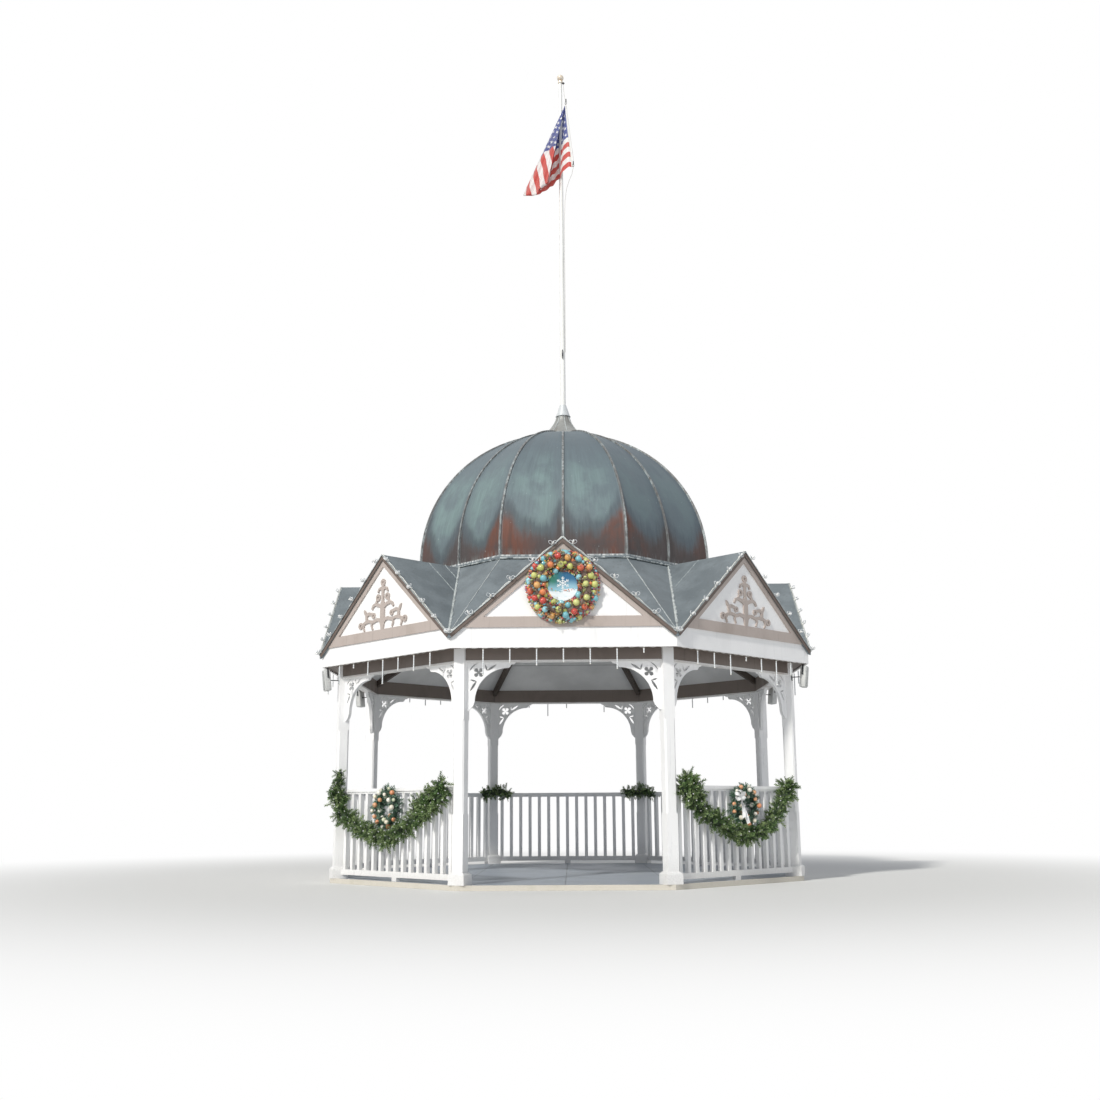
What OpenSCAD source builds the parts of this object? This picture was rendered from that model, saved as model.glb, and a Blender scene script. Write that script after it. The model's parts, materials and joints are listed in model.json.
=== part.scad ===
// Octagonal bandstand with eight cross gables round a bulging copper dome.
// Millimetres, +Z up. The origin is the centre of the floor's underside, and the open bay faces -Y.
// Heights in the Customizer sections are measured up from the floor that people stand on.

/* [Plan] */
// Distance between the centres of two neighbouring posts
bay = 2438; // [2200:1:2950]
// How far the gables' wall face stands out from the line of the posts
wall_out = 279; // [240:1:300]
// How far the roof sheet runs out past the gable face
roof_overhang = 33; // [20:1:60]
// Thickness of the floor slab
floor_t = 60; // [50:1:80]

/* [Heights] */
// Clear height under the beams
headroom = 2592; // [2150:1:2900]
// Height of the fascia boards
fascia_h = 240; // [200:1:290]
// Rise of the gables, from the eave corners to the ridges
gable_rise = 1155; // [960:1:1400]
// Length of the flagpole above the dome's crown
pole_length = 5840; // [4860:1:6100]
// Top of the hand rail
rail_z = 1120; // [930:1:1350]

/* [Dome] */
// Distance from the middle to a flat face of the dome at its foot
dome_foot_ap = 1980; // [1650:1:2100]
// How far each dome face bulges out past its foot
dome_bulge = 7; // [0:1:20]
// How far the centre of a dome face's arc lies past the middle, which points the crown
dome_inset = 110; // [90:1:140]
// Thickness of the dome's boards and copper together
dome_t = 35; // [25:1:50]

/* [Timber] */
// Width of a square post
post_w = 140; // [120:1:165]
// Height of the block round a post's foot
block_h = 140; // [110:1:170]
// Thickness of the brackets
bracket_t = 42; // [30:1:50]
// Drop of a bracket down its post, about its reach along the beam as well
bracket_size = 575; // [480:1:690]
// Width of a square baluster
baluster_w = 50; // [40:1:60]
// Distance between the middles of two neighbouring balusters
baluster_pitch = 152; // [127:1:180]

/* [Hidden] */
$fn = 64;
half_angle = 22.5;
post_r = bay / 2 / sin(half_angle);
post_ap = post_r * cos(half_angle);
wall_ap = post_ap + wall_out;
roof_ap = wall_ap + roof_overhang;
block_w = post_w + 65;
top = floor_t;

// Beam on the posts, with a white strip under it
beam_w = 120;
beam_bottom = top + headroom;
beam_top = beam_bottom + 198;
strip_t = 18;
strip_bottom = beam_bottom - strip_t;
beam_in = post_ap - beam_w / 2;
beam_out = post_ap + beam_w / 2;

// Fascia, gable wall and the boards on it
board_t = 25;
trim_t = 20;
trim_face = wall_ap + trim_t;
rake_w = 62;
band_h = 126;
soffit_t = 20;
fascia_bottom = beam_bottom + 122;
gable_foot = fascia_bottom + fascia_h;
soffit_z = fascia_bottom + 20;

// Roof sheet over its boards
eave = fascia_bottom + 166;
ridge = eave + gable_rise;
sheet_t = 50;
gable_half = roof_ap * tan(half_angle);
gable_slope = (ridge - eave) / gable_half;
hip_slope = (ridge - eave) / (roof_ap - dome_foot_ap);
gable_angle = atan(gable_slope);
sheet_drop = sheet_t / cos(gable_angle);
rake_drop = rake_w / cos(gable_angle);

// Sloping ceiling and the rafters under it
ceiling_slope = 0.62;
ceiling_t = 16;
ceiling_foot = beam_top;
ceiling_lap = 10;
hub_ap = 260;
rafter_w = 60;
rafter_h = 90;

// Dome
dome_arc_r = dome_foot_ap + dome_inset + dome_bulge;
dome_centre_z = ridge + sqrt(pow(dome_arc_r, 2) - pow(dome_foot_ap + dome_inset, 2));
crown_z = dome_centre_z + sqrt(pow(dome_arc_r, 2) - pow(dome_inset, 2));
ring_w = 90;
ring_h = 140;
seam_w = 26;
seam_h = 20;
curb_h = 46;
curb_t = 16;

// Flare, collar and flagpole on the crown
flare_r = 321;
flare_foot = crown_z - 42;
flare_top = crown_z + 292;
neck_r = 96;
collar_r = 106;
collar_top_r = 48;
collar_h = 180;
pole_r = 41;
pole_tip_r = 26;
pole_straight = 900;
ball_r = 52;
pole_top = crown_z + pole_length;

// Railing
rail_top = top + rail_z;
hand_w = 90;
hand_h = 38;
sub_w = 60;
sub_h = 24;
low_bottom = top + 46;
low_h = 68;
foot_w = 95;

// Seasonal pieces and small fittings
wreath_clear = 31;
wreath_mid_r = 303;
wreath_band = 255;
wreath_depth = 150;
wreath_z = ridge - (wreath_mid_r + wreath_band / 2 + wreath_clear) / cos(gable_angle);
picture_gap = 0.3;
picture_r = wreath_mid_r - wreath_band / 2 - picture_gap;
swag_r = 105;
swag_ap = post_ap + hand_w / 2 + swag_r + 2;
bulb_line_w = 12;
tube_r = 8;
tube_pitch = 315;
tube_n = floor((2 * wall_ap * tan(half_angle) - 220) / tube_pitch);
tube_lengths = [320, 180, 210, 175, 200, 260, 70, 190];
speaker_w = 150;
speaker_d = 95;
speaker_h = 290;

// Turns what is drawn for the front side to side i, counted anticlockwise from the front
module side(i) {
    rotate([0, 0, 45 * i])
        children();
}

// Turns what is drawn on the +X axis to corner j, the first being at the front right
module corner(j) {
    rotate([0, 0, -90 + half_angle + 45 * j])
        children();
}

// Octagonal prism with flat sides at distance ap from the middle
module octagon(ap, h) {
    rotate([0, 0, half_angle])
        cylinder(r = ap / cos(half_angle), h = h, $fn = 8);
}

module octagon_ring(ap_in, ap_out, h) {
    difference() {
        octagon(ap_out, h);
        translate([0, 0, -1])
            octagon(ap_in, h + 2);
    }
}

// Stands an outline drawn in x and z up across the front side, its face at distance ap, t thick
module on_front(ap, t) {
    translate([0, -ap + t, 0])
        rotate([90, 0, 0])
            linear_extrude(t)
                children();
}

// Eighth of a turn on the front side, from the middle outwards
module wedge(h) {
    reach = 5000;
    linear_extrude(h)
        polygon([[0, 0], [-reach * tan(half_angle), -reach], [reach * tan(half_angle), -reach]]);
}

// Outline of distance from the middle and height, run across the front side
module across_front(w) {
    rotate([90, 0, -90])
        translate([0, 0, -w / 2])
            linear_extrude(w)
                children();
}

// Plan of all eight posts, for what is cut to fit against them
module post_cores(h) {
    for (j = [0:7])
        corner(j)
            translate([post_r - post_w / 2, -post_w / 2, 0])
                cube([post_w, post_w, h]);
}

module block_cores(h) {
    for (j = [0:7])
        corner(j)
            translate([post_r - block_w / 2, -block_w / 2, 0])
                cube([block_w, block_w, h]);
}

module floor() {
    floor_ap = post_ap + block_w / 2;
    color("lightsteelblue")
        octagon(floor_ap, floor_t);
}

// Square post with chamfered edges along its middle and a block round its foot
module post(j) {
    chamfer_low = top + 800;
    chamfer_high = top + 1890;
    chamfer = 18;
    cap_h = 25;
    color("white")
        corner(j)
            translate([post_r, 0, 0]) {
                translate([0, 0, (top + chamfer_low) / 2])
                    cube([post_w, post_w, chamfer_low - top], center = true);
                translate([0, 0, chamfer_low])
                    linear_extrude(chamfer_high - chamfer_low)
                        intersection() {
                            square(post_w, center = true);
                            rotate(45)
                                square((post_w - chamfer) * sqrt(2), center = true);
                        }
                translate([0, 0, (chamfer_high + beam_top) / 2])
                    cube([post_w, post_w, beam_top - chamfer_high], center = true);
                translate([0, 0, top + (block_h - cap_h) / 2])
                    cube([block_w, block_w, block_h - cap_h], center = true);
                translate([0, 0, top + block_h - cap_h])
                    linear_extrude(cap_h, scale = (block_w - 2 * cap_h) / block_w)
                        square(block_w, center = true);
            }
}

// Ring beam in eight lengths between the posts
module beams() {
    color("dimgray")
        difference() {
            translate([0, 0, beam_bottom])
                octagon_ring(beam_in, beam_out, beam_top - beam_bottom);
            translate([0, 0, top])
                post_cores(4000);
        }
}

module beam_strips() {
    proud = 4;
    color("white")
        difference() {
            translate([0, 0, strip_bottom])
                octagon_ring(beam_in - proud, beam_out + proud, strip_t);
            translate([0, 0, top])
                post_cores(4000);
        }
}

// Pointed leaf, the lens between two equal arcs, lying along x
module leaf(length, width) {
    arc_r = (pow(length / 2, 2) + pow(width / 2, 2)) / width;
    intersection() {
        translate([0, arc_r - width / 2])
            circle(arc_r);
        translate([0, width / 2 - arc_r])
            circle(arc_r);
    }
}

// Hole of four round lobes round a middle
module quatrefoil(lobe_r) {
    for (a = [45:90:315])
        rotate(a)
            translate([lobe_r * 1.62, 0])
                circle(lobe_r);
    circle(lobe_r * 0.85);
}

// Thin new-moon shape on a circle of radius r, w thick in its middle, reaching half_span each way from +x
module crescent(r, w, half_span) {
    shift = (w * w - 2 * r * w) / (2 * (r - w - r * cos(half_span)));
    difference() {
        circle(r, $fn = 96);
        translate([shift, 0])
            circle(r - w - shift, $fn = 180);
    }
}

// Leaf and the short leaf that springs from it, pierced through the bracket's upper arm
module leaf_pair() {
    translate([283, -66])
        rotate(33)
            leaf(150, 30);
    translate([218, -64])
        rotate(-74)
            leaf(78, 22);
}

// Quarter-arch bracket, its corner at the origin, reaching along +x and down -y
module bracket_outline() {
    arch_r = 404;
    arch_x = 487;
    arch_y = 471;
    foil = [129, -122];
    difference() {
        union() {
            difference() {
                translate([0, -arch_y])
                    square([arch_x, arch_y]);
                translate([arch_x, -arch_y])
                    circle(arch_r, $fn = 96);
            }
            polygon([[arch_x - 2, 0], [574, 0], [557, -21], [516, -29], [500, -58], [arch_x - 2, -66]]);
            polygon([[0, 1 - arch_y], [arch_x - arch_r, 1 - arch_y], [62, -522], [12, -575], [0, -575]]);
        }
        translate(foil)
            quatrefoil(25);
        translate(foil)
            rotate(135)
                crescent(110, 19, 40);
        leaf_pair();
        mirror([1, 1])
            leaf_pair();
    }
}

// Two brackets in each bay, one against each post, drawn 575 mm high and scaled to their size
module brackets() {
    reach_from = bay / 2 - post_w / 2 / cos(half_angle);
    drawn = 575;
    lap = 30;
    color("white")
        difference() {
            for (i = [0:7])
                side(i)
                    for (hand = [0, 1])
                        mirror([hand, 0, 0])
                            translate([-reach_from - lap, 0, strip_bottom])
                                on_front(post_ap + bracket_t / 2, bracket_t)
                                    union() {
                                        translate([lap, 0])
                                            scale(bracket_size / drawn)
                                                bracket_outline();
                                        translate([0, -bracket_size])
                                            square([lap + 1, bracket_size]);
                                    }
            translate([0, 0, top])
                post_cores(headroom + 400);
        }
}

// Hand rail, sub rail, bottom rail on a small block, and balusters, cut to the posts
module railing(i) {
    span = bay - post_w;
    baluster_n = floor(span / baluster_pitch);
    baluster_bottom = low_bottom + low_h;
    baluster_top = rail_top - hand_h;
    color("white")
        difference() {
            side(i)
                translate([0, -post_ap, 0]) {
                    translate([-bay / 2, -hand_w / 2, rail_top - hand_h])
                        cube([bay, hand_w, hand_h]);
                    translate([-bay / 2, -sub_w / 2, rail_top - hand_h - sub_h])
                        cube([bay, sub_w, sub_h]);
                    translate([-bay / 2, -sub_w / 2, low_bottom])
                        cube([bay, sub_w, low_h]);
                    translate([-foot_w / 2, -sub_w / 2, top])
                        cube([foot_w, sub_w, low_bottom - top]);
                    for (k = [0:baluster_n - 1])
                        translate([(k - (baluster_n - 1) / 2) * span / (baluster_n + 0.1), 0, 0])
                            translate([-baluster_w / 2, -baluster_w / 2, baluster_bottom])
                                cube([baluster_w, baluster_w, baluster_top - baluster_bottom]);
                }
            translate([0, 0, top])
                post_cores(2000);
            translate([0, 0, top - 1])
                block_cores(block_h + 1);
        }
}

// Everything under the sheet of the front gable, down to height foot
module under_gable(drop, foot) {
    peak = ridge - drop;
    polygon([[-(peak - foot) / gable_slope, foot], [(peak - foot) / gable_slope, foot], [0, peak]]);
}

module fascia() {
    color("white")
        for (i = [0:7])
            side(i)
                intersection() {
                    on_front(wall_ap, board_t)
                        intersection() {
                            under_gable(sheet_drop, fascia_bottom - 400);
                            translate([-2000, fascia_bottom])
                                square([4000, gable_foot - fascia_bottom]);
                        }
                    wedge(6000);
                }
}

// Boards that close the gap between the beams and the fascia
module soffit() {
    color("saddlebrown")
        difference() {
            translate([0, 0, soffit_z])
                octagon_ring(beam_out, wall_ap - board_t, soffit_t);
            post_cores(beam_top);
        }
}

module gable_walls() {
    color("white")
        for (i = [0:7])
            side(i)
                on_front(wall_ap, board_t)
                    under_gable(sheet_drop, gable_foot);
}

// Rake boards and bottom band round each gable
module gable_trim() {
    color("tan")
        for (i = [0:7])
            side(i)
                intersection() {
                    on_front(trim_face, trim_t)
                        difference() {
                            under_gable(sheet_drop, gable_foot);
                            under_gable(sheet_drop + rake_drop, gable_foot + band_h);
                        }
                    wedge(6000);
                }
}

function unit(v) = v / norm(v);

function left_of(a, b) = let (d = unit(b - a)) [-d[1], d[0]];

// Sideways step at point k of a path that keeps the width of the bars on both sides of the point
function mitre(path, k) =
    let (last = len(path) - 1, before = left_of(path[max(k - 1, 0)], path[max(k, 1)]),
        after = left_of(path[min(k, last - 1)], path[min(k + 1, last)]), both = unit(before + after))
    both / (both * before);

// Bar along a path, w wide at its start and end_w at its end
module band(path, w, end_w) {
    last = len(path) - 1;
    function half_width(k) = (w + (end_w - w) * k / last) / 2;
    polygon(concat([for (k = [0:last]) path[k] + mitre(path, k) * half_width(k)],
        [for (k = [last:-1:0]) path[k] - mitre(path, k) * half_width(k)]));
}

module eye(r, hole_r) {
    difference() {
        circle(r);
        circle(hole_r);
    }
}

// Sawn scroll ornament 656 mm high, its foot at the origin
module scroll_outline() {
    polygon([[-26, 0], [26, 0], [42, 70], [58, 120], [44, 150], [44, 318], [22, 376], [22, 575], [-22, 575],
        [-22, 376], [-44, 318], [-44, 150], [-58, 120], [-42, 70]]);
    translate([0, 610])
        eye(46, 15);
    for (hand = [0, 1])
        mirror([hand, 0]) {
            band([[0, 510], [44, 538], [82, 526], [104, 486]], 40, 22);
            band([[20, 294], [80, 321], [155, 338], [200, 322], [228, 278]], 50, 28);
            translate([97, 420])
                eye(45, 17);
            band([[118, 392], [145, 336]], 30, 40);
            band([[20, 100], [66, 128], [117, 136], [200, 114], [290, 132], [365, 122], [440, 92]], 46, 36);
            translate([470, 90])
                eye(43, 17);
            band([[213, 117], [232, 72], [208, 14]], 32, 20);
            band([[379, 120], [412, 64], [386, 12]], 32, 20);
            band([[334, 126], [345, 214], [290, 232], [222, 216]], 46, 36);
            translate([194, 196])
                eye(37, 12);
            translate([368, 246])
                rotate(58)
                    leaf(110, 40);
        }
}

// Scrolls on seven gables; the front one carries the wreath in their place
module gable_scrolls() {
    scroll_t = 18;
    drawn = 656;
    clear = ridge - sheet_drop - rake_drop - gable_foot - band_h;
    size = min(1, 0.8 * clear / drawn);
    color("tan")
        for (i = [1:7])
            side(i)
                translate([0, 0, gable_foot + band_h])
                    on_front(wall_ap + scroll_t, scroll_t)
                        scale(size)
                            scroll_outline();
}

// Two slopes of copper sheet on boards over each gable
module gable_roofs() {
    low = ridge - gable_slope * (gable_half + 60);
    color("slategray")
        for (i = [0:7])
            side(i)
                difference() {
                    intersection() {
                        on_front(roof_ap, roof_ap - dome_foot_ap)
                            difference() {
                                under_gable(0, low);
                                under_gable(sheet_drop, low - 200);
                            }
                        wedge(6000);
                    }
                    under_hips();
                }
}

// Everything under the boards of the hip roof on the front side
module under_hips() {
    drop = sheet_t * sqrt(1 + pow(hip_slope, 2));
    run = roof_ap + 200;
    across_front(6000)
        polygon([[0, 0], [run, 0], [run, ridge - drop - (run - dome_foot_ap) * hip_slope],
            [0, ridge - drop + dome_foot_ap * hip_slope]]);
}

// Kite-shaped slopes that run from the dome's corners down to the eave corners
module roof_corners() {
    drop = sheet_t * sqrt(1 + pow(hip_slope, 2));
    color("slategray")
        for (i = [0:7])
            side(i)
                difference() {
                    intersection() {
                        across_front(6000)
                            polygon([[dome_foot_ap, ridge], [dome_foot_ap, ridge - drop],
                                [roof_ap, eave - drop], [roof_ap, eave]]);
                        wedge(6000);
                    }
                    on_front(roof_ap + 50, roof_ap)
                        under_gable(0, ridge - 3000);
                }
}

// Solid with eight equal slopes that rise from height foot at distance ap to a flat top
module tent(ap, foot, flat_ap, slope) {
    rise = (ap - flat_ap) * slope;
    intersection_for (i = [0:3])
        rotate([90, 0, 45 * i])
            translate([0, 0, -4000])
                linear_extrude(8000)
                    polygon([[-ap, foot - 200], [ap, foot - 200], [ap, foot], [flat_ap, foot + rise],
                        [-flat_ap, foot + rise], [-ap, foot]]);
}

// Boards on eight slopes that rise from the beams to a small flat middle
module ceiling() {
    color("gainsboro")
        difference() {
            tent(beam_in + ceiling_lap, ceiling_foot + ceiling_t - ceiling_lap * ceiling_slope, hub_ap,
                ceiling_slope);
            tent(beam_in, ceiling_foot, hub_ap, ceiling_slope);
            translate([-4000, -4000, 0])
                cube([8000, 8000, ceiling_foot]);
        }
}

// Hip rafters under the ceiling's corners and the block that they meet
module rafters() {
    hip = ceiling_slope * cos(half_angle);
    hub_z = ceiling_foot + (beam_in - hub_ap) * ceiling_slope;
    hub_r = hub_ap / cos(half_angle);
    foot_r = beam_in / cos(half_angle);
    edge_drop = rafter_w / 2 * sin(half_angle) * ceiling_slope;
    foot_z = ceiling_foot - edge_drop;
    block_z = hub_z - edge_drop - rafter_h - 20;
    color("dimgray")
        difference() {
            intersection() {
                union() {
                    for (j = [0:7])
                        corner(j)
                            rotate([90, 0, 0])
                                translate([0, 0, -rafter_w / 2])
                                    linear_extrude(rafter_w)
                                        polygon([[hub_r / 2, hub_z - edge_drop], [hub_r, hub_z - edge_drop],
                                            [foot_r, foot_z], [foot_r, foot_z - rafter_h],
                                            [hub_r / 2, hub_z - edge_drop - rafter_h]]);
                    translate([0, 0, block_z])
                        octagon(hub_ap - 60, hub_z - block_z);
                }
                octagon(beam_in, 6000);
            }
            post_cores(beam_top);
        }
}

// Barrel vault along the Y axis whose two sides are arcs that cross at the crown
module barrel(arc_r) {
    intersection_for (hand = [-1, 1])
        translate([hand * dome_inset, 0, dome_centre_z])
            rotate([90, 0, 0])
                cylinder(r = arc_r, h = 6000, center = true, $fn = 180);
}

// Eight-sided cloister vault, solid, above its foot
module vault(arc_r, foot) {
    intersection() {
        intersection_for (i = [0:3])
            rotate([0, 0, 45 * i])
                barrel(arc_r);
        translate([-3000, -3000, foot])
            cube([6000, 6000, 4000]);
    }
}

// Timber ring that the dome stands on and the roof slopes lean against
module dome_ring() {
    color("burlywood")
        translate([0, 0, ridge - ring_h])
            octagon_ring(dome_foot_ap - ring_w, dome_foot_ap, ring_h);
}

module dome_shell() {
    color("slategray")
        difference() {
            vault(dome_arc_r, ridge);
            vault(dome_arc_r - dome_t, ridge - 10);
        }
}

// Standing seams at the eight corners and down the middle of the eight faces
module dome_seams() {
    color("darkseagreen")
        difference() {
            intersection() {
                vault(dome_arc_r + seam_h, ridge + curb_h);
                for (k = [0:15])
                    rotate([0, 0, k * half_angle])
                        translate([0, -seam_w / 2, ridge])
                            cube([3000, seam_w, 3000]);
            }
            vault(dome_arc_r, ridge);
            translate([0, 0, ridge])
                cylinder(r = flare_r, h = 3000);
        }
}

// Flat copper strip round the dome's foot
module dome_curb() {
    color("slategray")
        difference() {
            translate([0, 0, ridge])
                octagon(dome_foot_ap + curb_t + 14, curb_h);
            vault(dome_arc_r, ridge - 10);
        }
}

// Hollow trumpet that spreads onto the crown
module flare() {
    rise = flare_top - flare_foot;
    steps = 10;
    outer = [for (k = [0:steps]) let (u = k / steps)
        [neck_r + (flare_r - neck_r) * pow(1 - u, 1.6), flare_foot + rise * u]];
    color("gray")
        difference() {
            rotate_extrude($fn = 96)
                polygon(concat([[pole_r, flare_foot], [pole_r, flare_top]],
                    [for (k = [steps:-1:0]) outer[k]]));
            vault(dome_arc_r, ridge);
        }
}

module collar() {
    color("lightgray")
        translate([0, 0, flare_top])
            difference() {
                cylinder(r1 = collar_r, r2 = collar_top_r, h = collar_h);
                translate([0, 0, -1])
                    cylinder(r = pole_r, h = collar_h + 2);
            }
}

module flagpole() {
    foot = crown_z;
    straight_top = foot + pole_straight;
    color("white") {
        translate([0, 0, foot])
            cylinder(r = pole_r, h = pole_straight);
        translate([0, 0, straight_top])
            cylinder(r1 = pole_r, r2 = pole_tip_r, h = pole_top - straight_top);
    }
}

// Turned truck on the pole's tip with a ball over it
module pole_ball() {
    truck_h = 46;
    color("gold")
        translate([0, 0, pole_top]) {
            cylinder(r = pole_tip_r + 10, h = truck_h - 14);
            cylinder(r = 12, h = truck_h);
            translate([0, 0, truck_h + ball_r - 8])
                sphere(ball_r);
        }
}

// Limp flag in front of the pole: the hoist hangs down it and the fly end falls to the left
module flag() {
    hoist_top = pole_top - 390;
    crossing = 1180;
    flag_t = 70;
    taper_foot = crown_z + pole_straight;
    low_share = (hoist_top - crossing - taper_foot) / (pole_top - taper_foot);
    low_r = pole_r + (pole_tip_r - pole_r) * low_share;
    color("firebrick")
        translate([0, -low_r, hoist_top])
            rotate([90, 0, 0])
                linear_extrude(flag_t)
                    polygon([[-22, 0], [60, 0], [170, -1044], [60, -1120], [-180, -1420], [-600, -1565],
                        [-560, -1300]]);
}

// Flat ring with round edges, lying in the plane of the front side
module padded_ring(mid_r, band, depth) {
    rotate([90, 0, 0])
        rotate_extrude($fn = 72) {
            translate([mid_r - (band - depth) / 2, 0])
                circle(depth / 2, $fn = 32);
            translate([mid_r + (band - depth) / 2, 0])
                circle(depth / 2, $fn = 32);
            translate([mid_r - (band - depth) / 2, -depth / 2])
                square([band - depth, depth]);
        }
}

module wreath() {
    color("darkorange")
        translate([0, -trim_face - wreath_depth / 2, wreath_z])
            padded_ring(wreath_mid_r, wreath_band, wreath_depth);
}

module wreath_picture() {
    color("powderblue")
        translate([0, -trim_face - wreath_depth / 2, wreath_z])
            rotate([90, 0, 0])
                cylinder(r = picture_r, h = 12, center = true, $fn = 72);
}

// Tube swept along a hanging curve in the plane of the front side
module swag(half_span, end_z, low_z, r) {
    rings = 25;
    sides = 10;
    sag = end_z - low_z;
    function at(k) = let (u = 2 * k / (rings - 1) - 1) [half_span * u, low_z + sag * pow(abs(u), 1.8)];
    function lean(k) = let (a = at(max(k - 1, 0)), b = at(min(k + 1, rings - 1)))
        atan2(b[1] - a[1], b[0] - a[0]);
    points = [for (k = [0:rings - 1], m = [0:sides - 1])
        let (c = at(k), a = lean(k), e = 360 * m / sides)
            [c[0] - r * cos(e) * sin(a), r * sin(e), c[1] + r * cos(e) * cos(a)]];
    skin = [for (k = [0:rings - 2], m = [0:sides - 1])
        let (n = (m + 1) % sides)
            [k * sides + m, k * sides + n, (k + 1) * sides + n, (k + 1) * sides + m]];
    first = [for (m = [sides - 1:-1:0]) m];
    last = [for (m = [0:sides - 1]) (rings - 1) * sides + m];
    polyhedron(points, concat(skin, [first, last]), convexity = 4);
}

// Greenery swags across the two front side bays, tied to the posts
module garlands() {
    color("darkgreen")
        difference() {
            for (i = [-1, 1])
                side(i)
                    translate([0, -swag_ap, 0])
                        swag(bay / 2 - 30, rail_top + 120, rail_top - 650, swag_r);
            translate([0, 0, top])
                post_cores(2000);
        }
}

module rail_wreaths() {
    ring_band = 150;
    color("darkgreen")
        for (i = [-1, 1])
            side(i)
                translate([0, -post_ap - baluster_w / 2 - ring_band / 2, rail_top - 262])
                    padded_ring(150, ring_band + 1, ring_band);
}

// Short bunches of greenery tied to the two back posts at rail height
module back_bunches() {
    color("darkgreen")
        for (j = [3, 4])
            corner(j)
                translate([post_r - post_w / 2 - 90, 0, rail_top - 30])
                    cylinder(r = 90, h = 170, center = true, $fn = 24);
}

// Wire of the light strings, along the front edge of each gable's slopes
module rake_light_strings() {
    length = gable_half / cos(gable_angle) - 30;
    color("ivory")
        for (i = [0:7])
            side(i)
                for (hand = [0, 1])
                    mirror([hand, 0, 0])
                        translate([0, -roof_ap + 20, ridge])
                            rotate([0, gable_angle, 0])
                                translate([20, -bulb_line_w / 2, 0])
                                    cube([length - 40, bulb_line_w, bulb_line_w]);
}

// Light tubes that hang from the fascia
module icicle_lights() {
    color("ivory")
        for (i = [0:7])
            side(i)
                for (k = [0:tube_n - 1])
                    translate([(k - (tube_n - 1) / 2) * tube_pitch, -wall_ap + board_t / 2,
                        fascia_bottom - tube_lengths[(k + 3 * i) % 8]])
                        cylinder(r = tube_r, h = tube_lengths[(k + 3 * i) % 8], $fn = 16);
}

// Loudspeaker boxes on short arms, high on the four side posts
module speakers() {
    arm = 120;
    color("silver")
        for (j = [1, 2, 5, 6])
            corner(j)
                translate([post_r + post_w / 2, 0, beam_bottom - 187]) {
                    translate([0, -25, speaker_h / 2 - 25])
                        cube([arm, 50, 50]);
                    translate([arm, -speaker_w / 2, 0])
                        cube([speaker_d, speaker_w, speaker_h]);
                }
}

floor();
post(0);  // post_front_right
post(1);  // post_right_front
post(2);  // post_right_back
post(3);  // post_back_right
post(4);  // post_back_left
post(5);  // post_left_back
post(6);  // post_left_front
post(7);  // post_front_left
beams();
beam_strips();
brackets();
railing(1);  // railing_front_right
railing(2);  // railing_right
railing(3);  // railing_back_right
railing(4);  // railing_back
railing(5);  // railing_back_left
railing(6);  // railing_left
railing(7);  // railing_front_left
fascia();
soffit();
gable_walls();
gable_trim();
gable_scrolls();
gable_roofs();
roof_corners();
ceiling();
rafters();
dome_ring();
dome_shell();
dome_seams();
dome_curb();
flare();
collar();
flagpole();
pole_ball();
flag();
wreath();
wreath_picture();
garlands();
rail_wreaths();
back_bunches();
rake_light_strings();
icicle_lights();
speakers();
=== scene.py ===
# %% [markdown]
# # A small town bandstand, from its frame to its finishes
#
# The frame comes from CAD in metres: 45 named pieces that already stand where they should. What is left for Blender
# is what the eye reads as real: weathered copper, gloss paint on timber, baubles, fir, cloth and lamps. Each step
# below first says what the piece is on the real building, then makes it.

import json
import math
import random

import bmesh
import bpy
from mathutils import Matrix, Vector

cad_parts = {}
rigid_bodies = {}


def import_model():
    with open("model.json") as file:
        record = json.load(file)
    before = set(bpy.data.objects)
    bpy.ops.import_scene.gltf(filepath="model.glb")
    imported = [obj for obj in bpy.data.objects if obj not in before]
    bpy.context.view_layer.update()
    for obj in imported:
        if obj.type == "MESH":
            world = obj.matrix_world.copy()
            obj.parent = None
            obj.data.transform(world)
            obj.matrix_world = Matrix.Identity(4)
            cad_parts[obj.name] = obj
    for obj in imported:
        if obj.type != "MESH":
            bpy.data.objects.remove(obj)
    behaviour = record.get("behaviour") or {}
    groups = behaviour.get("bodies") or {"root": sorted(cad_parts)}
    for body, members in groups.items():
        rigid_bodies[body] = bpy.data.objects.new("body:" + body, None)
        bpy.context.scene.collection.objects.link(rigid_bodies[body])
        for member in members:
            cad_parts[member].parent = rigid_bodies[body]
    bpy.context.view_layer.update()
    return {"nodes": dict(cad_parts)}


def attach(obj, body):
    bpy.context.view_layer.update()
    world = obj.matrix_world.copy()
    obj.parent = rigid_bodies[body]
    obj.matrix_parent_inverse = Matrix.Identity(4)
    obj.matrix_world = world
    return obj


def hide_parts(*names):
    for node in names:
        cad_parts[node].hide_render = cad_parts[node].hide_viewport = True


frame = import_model()
nodes = frame["nodes"]

# %% [markdown]
# Every piece that is placed on the building repeats a few of its sizes. The plan is a regular octagon with its open
# bay towards -Y, so a thing is drawn once for the front side and turned by eighths of a turn. A size that ends in AP
# is an apothem, the distance from the middle straight out to a side. The posts stand on the corners, POST_R out. The
# dome's section is an arc of radius ARC_R, whose centre lies ARC_INSET past the middle, at the height ARC_Z.

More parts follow.
